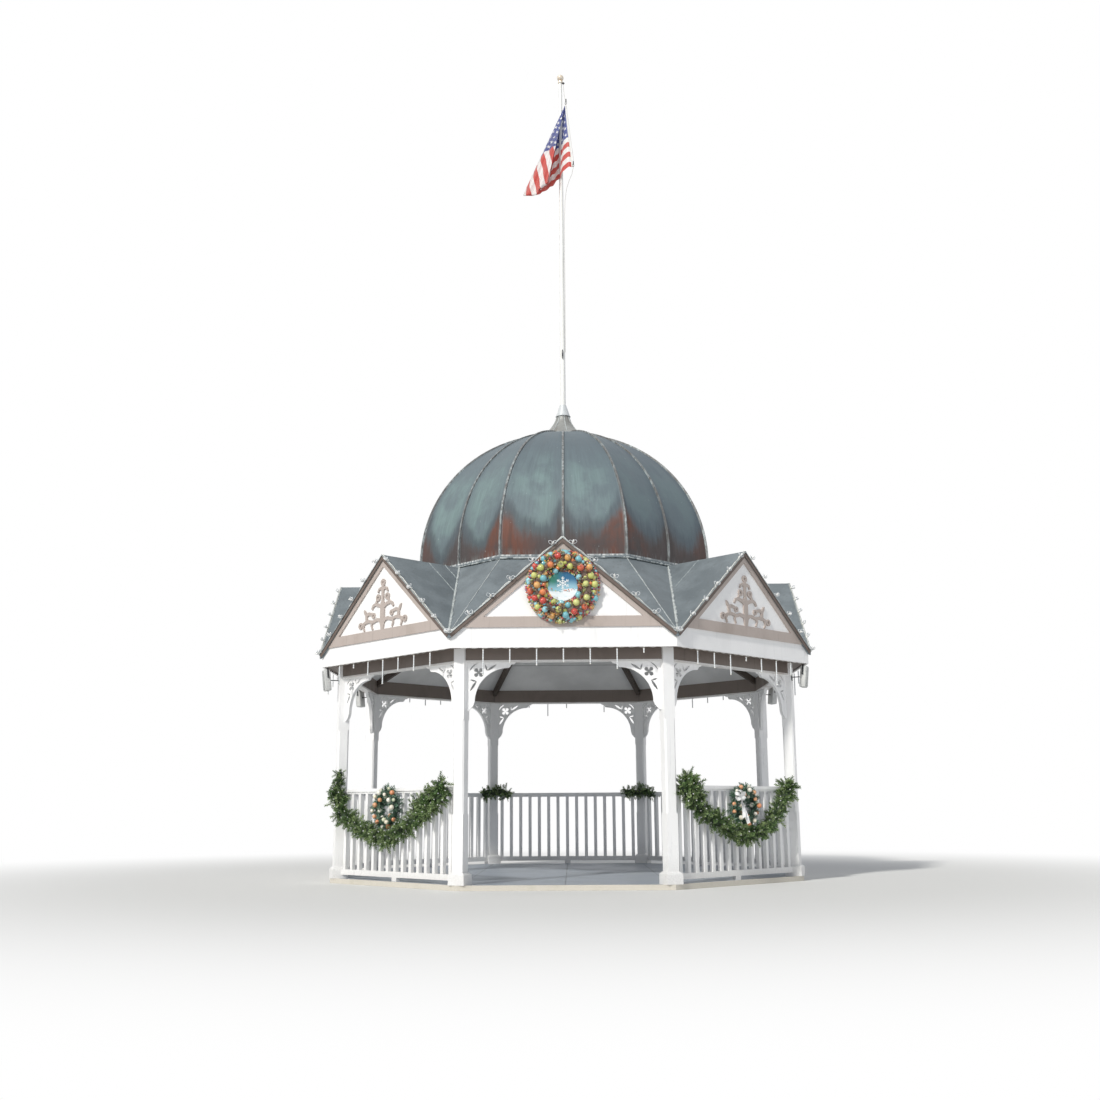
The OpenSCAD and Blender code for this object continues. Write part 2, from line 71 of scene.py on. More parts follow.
# %% Sizes that the added pieces share with the frame
EIGHTH = math.radians(45)
HALF = math.radians(22.5)
FLOOR_TOP = 0.060
BAY = 2.438
POST_R = BAY / 2 / math.sin(HALF)
POST_AP = POST_R * math.cos(HALF)
WALL_AP = POST_AP + 0.279
ROOF_AP = WALL_AP + 0.033
BEAM_FOOT = 2.652
FASCIA_FOOT = BEAM_FOOT + 0.122
EAVE = FASCIA_FOOT + 0.166
RIDGE = EAVE + 1.155
DOME_AP = 1.980
ARC_INSET = 0.110
ARC_R = DOME_AP + ARC_INSET + 0.007
ARC_Z = RIDGE + math.sqrt(ARC_R**2 - (DOME_AP + ARC_INSET) ** 2)
CROWN = ARC_Z + math.sqrt(ARC_R**2 - ARC_INSET**2)
POLE_TIP = CROWN + 5.840
DOME_HALF = DOME_AP * math.tan(HALF)
GABLE_HALF = ROOF_AP * math.tan(HALF)
RAKE_ANGLE = math.atan((RIDGE - EAVE) / GABLE_HALF)
RAKE_LENGTH = math.hypot(GABLE_HALF, RIDGE - EAVE)


def to_side(point, side):
    """A point drawn for the front side, turned to another side, anticlockwise from the front."""
    return Matrix.Rotation(EIGHTH * side, 3, "Z") @ Vector(point)


def post_angle(corner):
    """Angle of a post round the plan: 0 and 7 are the two at the front, right and left."""
    return math.radians(-90 + 22.5 + 45 * corner)


print("crown at", round(CROWN, 3), "m, gables lean", round(math.degrees(RAKE_ANGLE), 1), "degrees")

# %% [markdown]
# A finish is written as a few shader nodes. Colours are picked as sRGB hex values, the way that a paint chart or an
# eyedropper gives them, while the renderer works in linear light, so one function converts them. A second one adds a
# node with its settings and links, which keeps each finish readable as a list of what is mixed with what.

# %% Colour and node helpers
def linear(hex_colour):
    """sRGB hex to the linear values that shaders use."""
    parts = [int(hex_colour[k : k + 2], 16) / 255 for k in (1, 3, 5)]
    return (*[c / 12.92 if c <= 0.04045 else ((c + 0.055) / 1.055) ** 2.4 for c in parts], 1.0)


def add(tree, kind, inputs=None, **settings):
    """Adds a node. Inputs are values, or sockets to link from."""
    node = tree.nodes.new(kind)
    for name, value in settings.items():
        setattr(node, name, value)
    for key, value in (inputs or {}).items():
        if isinstance(value, bpy.types.NodeSocket):
            tree.links.new(value, node.inputs[key])
        else:
            node.inputs[key].default_value = value
    return node


def blend_colours(tree, share, low, high):
    """Mixes two colours, each a hex value or a socket, by a 0 to 1 socket or number."""
    ends = [linear(c) if isinstance(c, str) else c for c in (low, high)]
    mix = add(tree, "ShaderNodeMix", {0: share, 6: ends[0], 7: ends[1]}, data_type="RGBA")
    return mix.outputs[2]


def ramp(tree, value, low, high, start=0.0, end=1.0):
    """Maps a value from low..high smoothly onto start..end."""
    settings = {"Value": value, "From Min": low, "From Max": high, "To Min": start, "To Max": end}
    return add(tree, "ShaderNodeMapRange", settings, interpolation_type="SMOOTHSTEP").outputs[0]


def calc(tree, how, *values):
    """One step of arithmetic."""
    return add(tree, "ShaderNodeMath", dict(enumerate(values)), operation=how).outputs[0]


def grain(tree, place, size_mm, stretch=(1, 1, 1), detail=3.0, rough=0.6):
    """Cloudy noise whose features are size_mm across, drawn out by stretch."""
    scale = 1000 / size_mm
    spread = add(tree, "ShaderNodeMapping", {"Vector": place, "Scale": [1 / s for s in stretch]})
    noise = {"Vector": spread.outputs[0], "Scale": scale, "Detail": detail, "Roughness": rough}
    return add(tree, "ShaderNodeTexNoise", noise).outputs[0]


def new_finish(name, roughness=0.5, metallic=0.0):
    """An empty finish: its tree, its shader and the Object coordinates."""
    material = bpy.data.materials.new(name)
    material.use_nodes = True
    tree = material.node_tree
    shader = tree.nodes["Principled BSDF"]
    shader.inputs["Roughness"].default_value = roughness
    shader.inputs["Metallic"].default_value = metallic
    return material, tree, shader, add(tree, "ShaderNodeTexCoord").outputs["Object"]


def relief(tree, shader, height, depth_mm):
    """Bump from a 0 to 1 height."""
    bump = add(tree, "ShaderNodeBump", {"Height": height, "Distance": depth_mm / 1000, "Strength": 0.8})
    tree.links.new(bump.outputs[0], shader.inputs["Normal"])


def paint_nodes(material, *names):
    """Gives CAD pieces a finish."""
    for name in names:
        for held in nodes[name].material_slots:
            held.material = material


finishes = {}
print("helpers ready")

# %% [markdown]
# The camera comes first, because it decides how much detail each piece needs. A camera was fitted to the roof
# corners, gable peaks, post feet and rails of the octagon, which gives its place, its turn and its lens.

# %% Camera at the photograph's angle
YAW, PITCH, ROLL = -0.0175, 0.2085, -0.0058
CAMERA_AT = (0.1016, -17.6273, 0.8928)
FOCAL_PX, FRAME_PX = 1232.7, 1100
forward = Vector((math.sin(YAW) * math.cos(PITCH), math.cos(YAW) * math.cos(PITCH), math.sin(PITCH)))
level = Vector((math.cos(YAW), -math.sin(YAW), 0))
upright = level.cross(forward)
right = math.cos(ROLL) * level + math.sin(ROLL) * upright
up = -math.sin(ROLL) * level + math.cos(ROLL) * upright
camera = bpy.data.objects.new("camera", bpy.data.cameras.new("camera"))
camera.data.sensor_width = 36.0
camera.data.lens = FOCAL_PX / FRAME_PX * camera.data.sensor_width
camera.data.clip_end = 200
camera.matrix_world = Matrix.Translation(CAMERA_AT) @ Matrix((right, up, -forward)).transposed().to_4x4()
bpy.context.collection.objects.link(camera)
bpy.context.scene.camera = camera
print("lens", round(camera.data.lens, 2), "mm")

# %% [markdown]
# The light is a plain soft studio: a pale dome of light all round, one broad key lamp from the front left and a weak
# one from the right, at a level where a colour renders about as it is written. The floor is pale, keeps the
# shadow, and fades to the background's white further out. Only camera and mirror rays see that white.

# %% Studio
scene = bpy.context.scene
scene.view_settings.view_transform = "Standard"
world = bpy.data.worlds.new("studio")
world.use_nodes = True
scene.world = world
sky = world.node_tree
seen = add(sky, "ShaderNodeLightPath")
mirrored = calc(sky, "MAXIMUM", seen.outputs["Is Glossy Ray"], seen.outputs["Is Transmission Ray"])
white_seen = calc(sky, "MAXIMUM", seen.outputs["Is Camera Ray"], mirrored)
soft_light = add(sky, "ShaderNodeBackground", {"Color": linear("#EEF3FB"), "Strength": 0.38}).outputs[0]
plain_white = add(sky, "ShaderNodeBackground", {"Color": (1, 1, 1, 1), "Strength": 1.0}).outputs[0]
all_round = add(sky, "ShaderNodeMixShader", {0: white_seen, 1: soft_light, 2: plain_white}).outputs[0]
sky.links.new(all_round, sky.nodes["World Output"].inputs["Surface"])


def lamp(name, towards, strength, softness, tint):
    """A far lamp with soft-edged shadows."""
    light = bpy.data.lights.new(name, "SUN")
    light.energy = strength
    light.angle = math.radians(softness)
    light.color = linear(tint)[:3]
    held = bpy.data.objects.new(name, light)
    held.rotation_mode = "QUATERNION"
    held.rotation_quaternion = Vector(towards).to_track_quat("-Z", "Y")
    bpy.context.collection.objects.link(held)


lamp("key", (0.56, 0.84, -0.72), 2.55, 5, "#FFFCF6")
lamp("fill", (-0.5, 0.9, -0.30), 0.25, 30, "#F0F5FF")

floor_disc, tree, shader, place = new_finish("studio_floor", roughness=0.9)
shader.inputs["Base Color"].default_value = linear("#E6E6E4")
far = ramp(tree, add(tree, "ShaderNodeVectorMath", {0: place}, operation="LENGTH").outputs["Value"], 5.0, 13.0)
glow = add(tree, "ShaderNodeEmission", {"Color": (1, 1, 1, 1), "Strength": 1.0})
camera_ray = add(tree, "ShaderNodeLightPath").outputs["Is Camera Ray"]
fading = {0: calc(tree, "MULTIPLY", far, camera_ray), 1: shader.outputs[0], 2: glow.outputs[0]}
surface = add(tree, "ShaderNodeMixShader", fading).outputs[0]
tree.links.new(surface, tree.nodes["Material Output"].inputs["Surface"])
mesh = bpy.data.meshes.new("studio_floor")
rim = [(90 * math.cos(k / 48 * math.tau), 90 * math.sin(k / 48 * math.tau), -0.001) for k in range(48)]
mesh.from_pydata(rim, [], [list(range(48))])
mesh.materials.append(floor_disc)
studio_floor = bpy.data.objects.new("studio_floor", mesh)
bpy.context.collection.objects.link(studio_floor)

# %% [markdown]
# **Gloss paint on timber.** Most of the bandstand is softwood under many coats of white gloss, brushed on outdoors.
# Paint is not one flat white: rain draws faint grey runs down it, dirt splashes up from the floor, brush marks and
# the grain underneath break the shine. The same recipe with other colours gives the taupe trim, the grey-brown beams
# and the stained rafters, so it is one function that takes the colours. Its patterns have sizes in millimetres.

# %% Painted timber
def painted_timber(name, clean, worn, shade, roughness, splash=0.35, heads=None):
    """Brushed paint: clean colour, thin patches, grey runs from rain, and dirt low down."""
    material, tree, shader, place = new_finish(name, roughness)
    patches = grain(tree, place, 420, (1, 1, 1.6), 5.0)
    runs = grain(tree, place, 38, (1, 1, 14), 4.0)
    speck = grain(tree, place, 9, (1, 1, 1.5), 4.0, 0.7)
    colour = blend_colours(tree, ramp(tree, patches, 0.48, 0.72, 0.0, 0.75), clean, worn)
    colour = blend_colours(tree, ramp(tree, runs, 0.56, 0.80, 0.0, 0.42), colour, shade)
    colour = blend_colours(tree, ramp(tree, speck, 0.66, 0.80, 0.0, 0.35), colour, shade)
    height = add(tree, "ShaderNodeSeparateXYZ", {0: place}).outputs["Z"]
    low = calc(tree, "MULTIPLY", ramp(tree, height, 0.45, 0.06), ramp(tree, speck, 0.25, 0.75, 0.25, 1.0))
    colour = blend_colours(tree, calc(tree, "MULTIPLY", low, splash), colour, "#8F8A80")
    if heads:
        # Above the beams' foot, only the posts' outer halves are white: inside they are painted with the beams
        out = add(tree, "ShaderNodeVectorMath", {0: place, 1: (1, 1, 0)}, operation="MULTIPLY").outputs[0]
        out = add(tree, "ShaderNodeVectorMath", {0: out}, operation="LENGTH").outputs["Value"]
        above = calc(tree, "GREATER_THAN", height, BEAM_FOOT)
        inner = calc(tree, "MULTIPLY", calc(tree, "LESS_THAN", out, POST_R), above)
        colour = blend_colours(tree, inner, colour, heads)
    tree.links.new(colour, shader.inputs["Base Color"])
    tree.links.new(ramp(tree, patches, 0.3, 0.8, roughness - 0.08, roughness + 0.2), shader.inputs["Roughness"])
    brush = grain(tree, place, 3.2, (1, 1, 26), 3.0)
    relief(tree, shader, calc(tree, "ADD", brush, calc(tree, "MULTIPLY", speck, 0.5)), 0.7)
    finishes[name] = material
    return material


# Name, clean coat, thin patches, runs and dirt, roughness. Gloss shows a narrow sheen, the older coats a dull one.
painted_timber("white_gloss_on_softwood", "#FAFAFA", "#F2F2F2", "#D3D4D6", 0.34)
painted_timber("white_gloss_on_posts", "#FAFAFA", "#F2F2F2", "#D3D4D6", 0.34, 0.35, "#6E645E")
painted_timber("worn_white_over_brown", "#E9E7E5", "#C9BDB6", "#93837A", 0.4, 0.0)
painted_timber("taupe_gloss_on_softwood", "#B9ADA6", "#AA9E96", "#85796F", 0.42, 0.0)
painted_timber("grey_brown_paint_on_beams", "#7B7069", "#6D625B", "#544A44", 0.5, 0.0)
painted_timber("dark_stain_on_rafters", "#5A514A", "#4A423C", "#342E2A", 0.55, 0.0)
painted_timber("bare_softwood", "#B08A5E", "#9A764C", "#6E5334", 0.7, 0.0)
print("painted timber:", list(finishes))

# %% [markdown]
# **Ceiling boards.** Sheets of pale grey board follow the eight slopes, with a joint every 0.6 m up the slope. The
# joints follow distance from the middle of the nearest side, which the largest of four turned coordinates gives.

# %% Ceiling boards with joints
def side_distance(tree, place):
    """Distance from the middle, measured square to the nearest of the eight sides."""
    farthest = 0.0
    for k in range(4):
        axis = (math.cos(EIGHTH * k), math.sin(EIGHTH * k), 0)
        along = add(tree, "ShaderNodeVectorMath", {0: place, 1: axis}, operation="DOT_PRODUCT").outputs["Value"]
        farthest = calc(tree, "MAXIMUM", calc(tree, "ABSOLUTE", along), farthest)
    return farthest


BOARD_PITCH = 0.610
# Matt emulsion on smooth board: even and dull, so the eye finds only its joints
material, tree, shader, place = new_finish("pale_grey_paint_on_boards", 0.6)
joint = calc(tree, "PINGPONG", calc(tree, "ADD", side_distance(tree, place), 0.12), BOARD_PITCH / 2)
line = ramp(tree, joint, 0.012, 0.003)
tone = blend_colours(tree, ramp(tree, grain(tree, place, 600, detail=4.0), 0.35, 0.7), "#E2E2E1", "#D3D3D2")
tone = blend_colours(tree, ramp(tree, grain(tree, place, 45), 0.6, 0.85, 0.0, 0.3), tone, "#BDBDBA")
tone = blend_colours(tree, calc(tree, "MULTIPLY", line, 0.55), tone, "#7F7F7D")
tree.links.new(tone, shader.inputs["Base Color"])
relief(tree, shader, calc(tree, "SUBTRACT", grain(tree, place, 6), calc(tree, "MULTIPLY", line, 1.5)), 1.5)
finishes[material.name] = material
print("ceiling boards with a joint every", round(BOARD_PITCH * 1000), "mm")

# %% [markdown]
# **Floor paint.** The floor is blue-grey paint on concrete, dull where feet have worn it and darker in the joints of
# the cast slabs. Worn patches are pale and rougher than the paint that is left.

# %% Worn floor paint
SLAB_PITCH = 1.20
# Rolled floor paint: a low sheen where it lasts, and none where feet have cut through it
material, tree, shader, place = new_finish("worn_floor_paint_on_concrete", 0.5)
worn = ramp(tree, grain(tree, place, 700, detail=6.0, rough=0.65), 0.42, 0.68)
grit = grain(tree, place, 7, detail=5.0, rough=0.8)
tone = blend_colours(tree, worn, "#8D97A3", "#A9AFB5")
tone = blend_colours(tree, ramp(tree, grit, 0.6, 0.8, 0.0, 0.5), tone, "#6E747B")
spot = add(tree, "ShaderNodeSeparateXYZ", {0: place})
cast = [ramp(tree, calc(tree, "PINGPONG", spot.outputs[k], SLAB_PITCH / 2), 0.010, 0.004) for k in (0, 1)]
cast_line = calc(tree, "MAXIMUM", *cast)
tone = blend_colours(tree, calc(tree, "MULTIPLY", cast_line, 0.6), tone, "#5A6068")
# Outside the railings and on its sides the slab is bare: pale, sandy concrete
bare = calc(tree, "GREATER_THAN", side_distance(tree, place), POST_AP + 0.055)
bare = calc(tree, "MAXIMUM", bare, calc(tree, "LESS_THAN", spot.outputs["Z"], FLOOR_TOP - 0.002))
sand = blend_colours(tree, ramp(tree, grit, 0.45, 0.75), "#D3CEC3", "#B3ACA0")
sand = blend_colours(tree, ramp(tree, grain(tree, place, 260, detail=4.0), 0.5, 0.75, 0.0, 0.5), sand, "#BDB9A9")
tone = blend_colours(tree, bare, tone, sand)
tree.links.new(tone, shader.inputs["Base Color"])
tree.links.new(ramp(tree, worn, 0.0, 1.0, 0.42, 0.75), shader.inputs["Roughness"])
relief(tree, shader, calc(tree, "SUBTRACT", grit, calc(tree, "MULTIPLY", cast_line, 2.0)), 1.2)
finishes[material.name] = material
print("floor paint, joints every", SLAB_PITCH, "m")

# %% [markdown]
# **Weathered copper on the dome.** Copper goes brown, then slate grey, then green. Rain runs down the curved faces,
# so the colours lie in upright streaks. The top is dark slate and the middle has pale green bands. The foot stays
# brown, most of all where seams shelter it, so the brown climbs at each seam and dips between two of them. The
# pattern needs the height and the angle round the dome, and both come from the Object coordinates.

# %% Angle round the dome, for stains that follow its seams
def round_the_dome(tree, place):
    """Height, angle in eighths of a turn from the front, and distance from the nearest corner seam, 0 to 1."""
    parts = add(tree, "ShaderNodeSeparateXYZ", {0: place})
    turn = calc(tree, "ARCTAN2", parts.outputs["X"], calc(tree, "MULTIPLY", parts.outputs["Y"], -1.0))
    eighths = calc(tree, "ADD", calc(tree, "DIVIDE", turn, EIGHTH), 8.0)
    from_corner = calc(tree, "MULTIPLY", calc(tree, "PINGPONG", calc(tree, "ADD", eighths, 0.5), 0.5), 2.0)
    return parts.outputs["Z"], eighths, from_corner


def streaks(tree, height, eighths, width_mm, length, offset=0.0):
    """Noise drawn out down the slope: width_mm across at the dome's foot."""
    across = calc(tree, "MULTIPLY", eighths, 1.62 * 1000 / width_mm)
    down = calc(tree, "MULTIPLY", height, 1000 / width_mm / length)
    spot = add(tree, "ShaderNodeCombineXYZ", {0: across, 1: down, 2: offset})
    noise = {"Vector": spot.outputs[0], "Scale": 1.0, "Detail": 4.0, "Roughness": 0.62}
    return add(tree, "ShaderNodeTexNoise", noise).outputs[0]


print("angle and streaks round the dome ready")

# %% [markdown]
# The finish is laid on in the order in which weather did it: slate, verdigris over its middle, the dark stain that
# climbs at the seams, rust below that, and last the pale splashes of solder and lime. Each layer is a 0 to 1 share
# between what is there and one new colour. Copper with such a skin hardly mirrors, so it is only a little metallic.

# %% Dome copper, layer by layer
def weathered_copper_dome():
    """Old copper sheet whose skin is dull and streaked, darker and redder towards the foot."""
    material, tree, shader, place = new_finish("weathered_copper_on_the_dome", 0.6, 0.12)
    across = add(tree, "ShaderNodeSeparateXYZ", {0: place}).outputs["X"]
    height, eighths, from_corner = round_the_dome(tree, place)
    up = calc(tree, "SUBTRACT", height, RIDGE)
    broad = streaks(tree, height, eighths, 300, 3.0, 3.1)
    fine = streaks(tree, height, eighths, 34, 12.0, 7.7)
    cloud = grain(tree, place, 520, detail=5.0)
    slate = blend_colours(tree, ramp(tree, fine, 0.3, 0.7), "#5D6970", "#68757C")
    green = blend_colours(tree, ramp(tree, fine, 0.3, 0.7), "#6F8485", "#7D9292")
    # 0 at both kinds of seam, 1 in the middle of a half face
    between = calc(tree, "MULTIPLY", calc(tree, "PINGPONG", eighths, 0.25), 4.0)
    belly = calc(tree, "MULTIPLY", ramp(tree, up, 1.75, 1.15), ramp(tree, up, 0.30, 0.62, 0.75, 1.0))
    patch = ramp(tree, calc(tree, "ADD", cloud, calc(tree, "MULTIPLY", broad, 0.5)), 0.62, 0.86, 0.25, 1.0)
    away = ramp(tree, between, 0.05, 0.55, 0.3, 1.0)
    verdigris = calc(tree, "MULTIPLY", calc(tree, "MULTIPLY", belly, patch), away)
    tone = blend_colours(tree, verdigris, slate, green)
    tone = blend_colours(tree, ramp(tree, cloud, 0.5, 0.78, 0.0, 0.30), tone, "#5A656C")
    # The stain's upper edge: high at the seams, low between them, ragged with the rain's streaks
    rise = calc(tree, "MULTIPLY", calc(tree, "POWER", calc(tree, "SUBTRACT", 1.0, between), 1.7), 0.30)
    side_rise = calc(tree, "MULTIPLY", calc(tree, "POWER", calc(tree, "SUBTRACT", 1.0, from_corner), 2.0), 0.16)
    ragged = calc(tree, "ADD", calc(tree, "MULTIPLY", broad, 0.60), calc(tree, "MULTIPLY", fine, 0.22))
    edge = calc(tree, "ADD", calc(tree, "ADD", rise, side_rise), calc(tree, "SUBTRACT", ragged, 0.09))
    # On the faces to the left the green runs down nearly to the foot
    leftward = ramp(tree, across, -0.85, -1.05, 0.0, 0.17)
    edge = calc(tree, "SUBTRACT", edge, calc(tree, "MULTIPLY", between, leftward))
    below = calc(tree, "SUBTRACT", edge, up)
    tone = blend_colours(tree, ramp(tree, below, -0.24, -0.02, 0.0, 0.82), tone, "#474F55")
    # Painted shade: the faces to the right are darker and bluer, as on the side away from the light
    tone = blend_colours(tree, ramp(tree, across, -0.1, 1.3, 0.0, 0.60), tone, "#55626C")
    # A dark column rises beside the seam in the middle of each face
    middle = calc(tree, "MULTIPLY", ramp(tree, from_corner, 0.62, 0.93), ramp(tree, up, 0.86, 0.40))
    middle = calc(tree, "MULTIPLY", middle, ramp(tree, fine, 0.30, 0.60, 0.45, 1.0))
    tone = blend_colours(tree, calc(tree, "MULTIPLY", middle, 0.62), tone, "#555E65")
    # Redder by the corners, nearly black brown elsewhere
    warm = calc(tree, "MULTIPLY", ramp(tree, from_corner, 0.85, 0.15), ramp(tree, cloud, 0.34, 0.60))
    warm = calc(tree, "MULTIPLY", warm, ramp(tree, calc(tree, "ABSOLUTE", across), 1.9, 1.1, 0.35, 1.0))
    rust = blend_colours(tree, warm, "#4A4343", "#683F31")
    rust = blend_colours(tree, ramp(tree, fine, 0.45, 0.75, 0.0, 0.45), rust, "#4C4A48")
    tone = blend_colours(tree, ramp(tree, below, -0.04, 0.22), tone, rust)
    spots = grain(tree, place, 26, (1, 1, 1.6), 2.0)
    tone = blend_colours(tree, ramp(tree, spots, 0.735, 0.76, 0.0, 0.6), tone, "#B4BBB9")
    seam_gap = calc(tree, "PINGPONG", eighths, 0.25)
    beside = ramp(tree, calc(tree, "ADD", seam_gap, calc(tree, "MULTIPLY", fine, 0.014)), 0.030, 0.012)
    tone = blend_colours(tree, calc(tree, "MULTIPLY", beside, 0.35), tone, "#98A3A6")
    wash = calc(tree, "MULTIPLY", ramp(tree, up, 0.16, 0.02), ramp(tree, fine, 0.42, 0.7))
    tone = blend_colours(tree, calc(tree, "MULTIPLY", wash, 0.35), tone, "#A9B1AF")
    tree.links.new(tone, shader.inputs["Base Color"])
    tree.links.new(ramp(tree, fine, 0.3, 0.7, 0.50, 0.68), shader.inputs["Roughness"])
    dents = grain(tree, place, 260, detail=2.0)
    relief(tree, shader, calc(tree, "ADD", calc(tree, "MULTIPLY", dents, 4.0), fine), 2.2)
    finishes[material.name] = material


weathered_copper_dome()
print("dome copper: slate, verdigris, brown foot")

# %% [markdown]
# **Copper on the gable slopes.** These slopes are flatter and greyer, with long runs down the fall of the sheet and
# the odd pale splash. The soldered seams on them are pieces of their own, made further on.

# %% Roof copper, seams, flare and collar
def weathered_copper_sheet(name, low, high, stain, roughness, metallic=0.25):
    """Folded sheet that rain runs down: two tones in clouds, stained streaks and small pale splashes."""
    material, tree, shader, place = new_finish(name, roughness, metallic)
    cloud = grain(tree, place, 330, detail=5.0)
    runs = grain(tree, place, 30, (1, 1, 9), 4.0)
    spots = grain(tree, place, 22, detail=2.0)
    tone = blend_colours(tree, ramp(tree, cloud, 0.35, 0.68), low, high)
    tone = blend_colours(tree, ramp(tree, runs, 0.52, 0.78, 0.0, 0.6), tone, stain)
    tone = blend_colours(tree, ramp(tree, spots, 0.72, 0.75, 0.0, 0.6), tone, "#B9BFBE")
    tree.links.new(tone, shader.inputs["Base Color"])
    tree.links.new(ramp(tree, cloud, 0.3, 0.7, roughness - 0.06, roughness + 0.12), shader.inputs["Roughness"])
    relief(tree, shader, calc(tree, "ADD", calc(tree, "MULTIPLY", cloud, 3.0), runs), 1.8)
    finishes[name] = material


def copper_with_pale_marks(name, dull, bright, low, high):
    """Dark copper with broken pale marks that come in between two heights above the dome's foot: pale solder on the
    seams, a painted highlight along the foot strip's top edge.
    """
    material, tree, shader, place = new_finish(name, 0.55, 0.2)
    up = calc(tree, "SUBTRACT", add(tree, "ShaderNodeSeparateXYZ", {0: place}).outputs["Z"], RIDGE)
    broken = grain(tree, place, 34, (1, 1, 2.2), 5.0, 0.7)
    patches = grain(tree, place, 210, (1, 1, 2.5), 3.0)
    share = calc(tree, "MULTIPLY", ramp(tree, broken, 0.40, 0.60), ramp(tree, patches, 0.36, 0.62, 0.25, 1.0))
    where = calc(tree, "MULTIPLY", share, ramp(tree, up, low, high))
    tone = blend_colours(tree, where, dull, bright)
    tone = blend_colours(tree, ramp(tree, grain(tree, place, 60), 0.56, 0.75, 0.0, 0.6), tone, "#5B5A57")
    tree.links.new(tone, shader.inputs["Base Color"])
    relief(tree, shader, broken, 1.4)
    finishes[name] = material


weathered_copper_sheet("weathered_copper_on_the_gables", "#6B7479", "#7F888D", "#5E6061", 0.55, 0.12)
copper_with_pale_marks("soldered_seam_copper", "#6C6B6B", "#AAB3B4", -0.05, 0.02)
# On the foot strip the pale marks are a painted highlight: a near-white line along its top edge
copper_with_pale_marks("foot_strip_copper", "#737D82", "#F2F3F1", 0.018, 0.032)
weathered_copper_sheet("copper_of_the_flare", "#9A9C9A", "#807F7B", "#C6CBCB", 0.48)
weathered_copper_sheet("lead_grey_collar", "#D5D9DB", "#C2C6C8", "#A9AEB1", 0.4, 0.15)
print("copper sheets:", [n for n in finishes if "copper" in n])

# %% [markdown]
# **Pole and ball.** The pole is a white painted tube with faint chalky runs. The ball at its tip was gilt once, and
# sun has bleached it to a pale cream with warmer patches where some of the leaf is left.

# %% Pole paint and bleached gilt
painted_timber("white_enamel_on_the_pole", "#F6F6F3", "#EAE9E4", "#CFCCC4", 0.28, 0.0)
# Gold leaf gone chalky: pale and satin, warmer and shinier where leaf is left
material, tree, shader, place = new_finish("bleached_gilt", 0.35, 0.2)
leaf = grain(tree, place, 18, detail=4.0)
tree.links.new(blend_colours(tree, ramp(tree, leaf, 0.4, 0.65), "#EDE4D8", "#D8C3A4"), shader.inputs["Base Color"])
tree.links.new(ramp(tree, leaf, 0.35, 0.7, 0.3, 0.5), shader.inputs["Roughness"])
relief(tree, shader, leaf, 0.3)
finishes[material.name] = material
print("pole and ball finishes")

# %% [markdown]
# Every CAD piece whose shape is right stays as it is and takes its finish through its own slots.

# %% Hand out the finishes
paint_nodes(finishes["worn_floor_paint_on_concrete"], "floor")
white_pieces = [n for n in nodes if n.startswith("railing_")] + ["brackets", "fascia", "gable_walls"]
paint_nodes(finishes["white_gloss_on_softwood"], *white_pieces)
paint_nodes(finishes["white_gloss_on_posts"], *[n for n in nodes if n.startswith("post_")])
paint_nodes(finishes["worn_white_over_brown"], "beam_strips")
paint_nodes(finishes["taupe_gloss_on_softwood"], "gable_trim", "gable_scrolls")
paint_nodes(finishes["grey_brown_paint_on_beams"], "beams", "soffit")
paint_nodes(finishes["dark_stain_on_rafters"], "rafters")
paint_nodes(finishes["bare_softwood"], "dome_ring")
paint_nodes(finishes["pale_grey_paint_on_boards"], "ceiling")
paint_nodes(finishes["weathered_copper_on_the_gables"], "gable_roofs", "roof_corners")
paint_nodes(finishes["weathered_copper_on_the_dome"], "dome_shell")
paint_nodes(finishes["soldered_seam_copper"], "dome_seams")
paint_nodes(finishes["foot_strip_copper"], "dome_curb")
paint_nodes(finishes["copper_of_the_flare"], "flare")
paint_nodes(finishes["lead_grey_collar"], "collar")
paint_nodes(finishes["white_enamel_on_the_pole"], "flagpole")
paint_nodes(finishes["bleached_gilt"], "pole_ball")
print(len(white_pieces), "white pieces")

# %% [markdown]
# **How the added pieces are grown.** What repeats or follows a path is made by Geometry Nodes: a tree with named
# inputs takes a start mesh, and its result is kept as a plain mesh. So the trees can be used again for a new path, a
# new pitch or a new seed. Small shapes that repeat, such as a bulb or a twig, are drawn once and handed to the tree.

# %% Geometry Nodes helpers
def geometry_tree(name, **inputs):
    """A tree with named inputs, and its input sockets."""
    tree = bpy.data.node_groups.new(name, "GeometryNodeTree")
    tree.interface.new_socket("Geometry", in_out="OUTPUT", socket_type="NodeSocketGeometry")
    for label, kind in {"Start": "Geometry", **inputs}.items():
        tree.interface.new_socket(label, in_out="INPUT", socket_type="NodeSocket" + kind)
    return tree, tree.nodes.new("NodeGroupInput").outputs


def close_tree(tree, geometry, finish):
    """Makes instances real and dresses them."""
    real = add(tree, "GeometryNodeRealizeInstances", {0: geometry}).outputs[0]
    dressed = add(tree, "GeometryNodeSetMaterial", {"Geometry": real, "Material": finish}).outputs[0]
    tree.links.new(dressed, tree.nodes.new("NodeGroupOutput").inputs[0])


def settle(name, mesh, smooth=True):
    """Puts a finished mesh on the building as a piece of its own."""
    mesh.name = name
    mesh.polygons.foreach_set("use_smooth", [smooth] * len(mesh.polygons))
    piece = bpy.data.objects.new(name, mesh)
    bpy.context.collection.objects.link(piece)
    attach(piece, "root")
    return piece


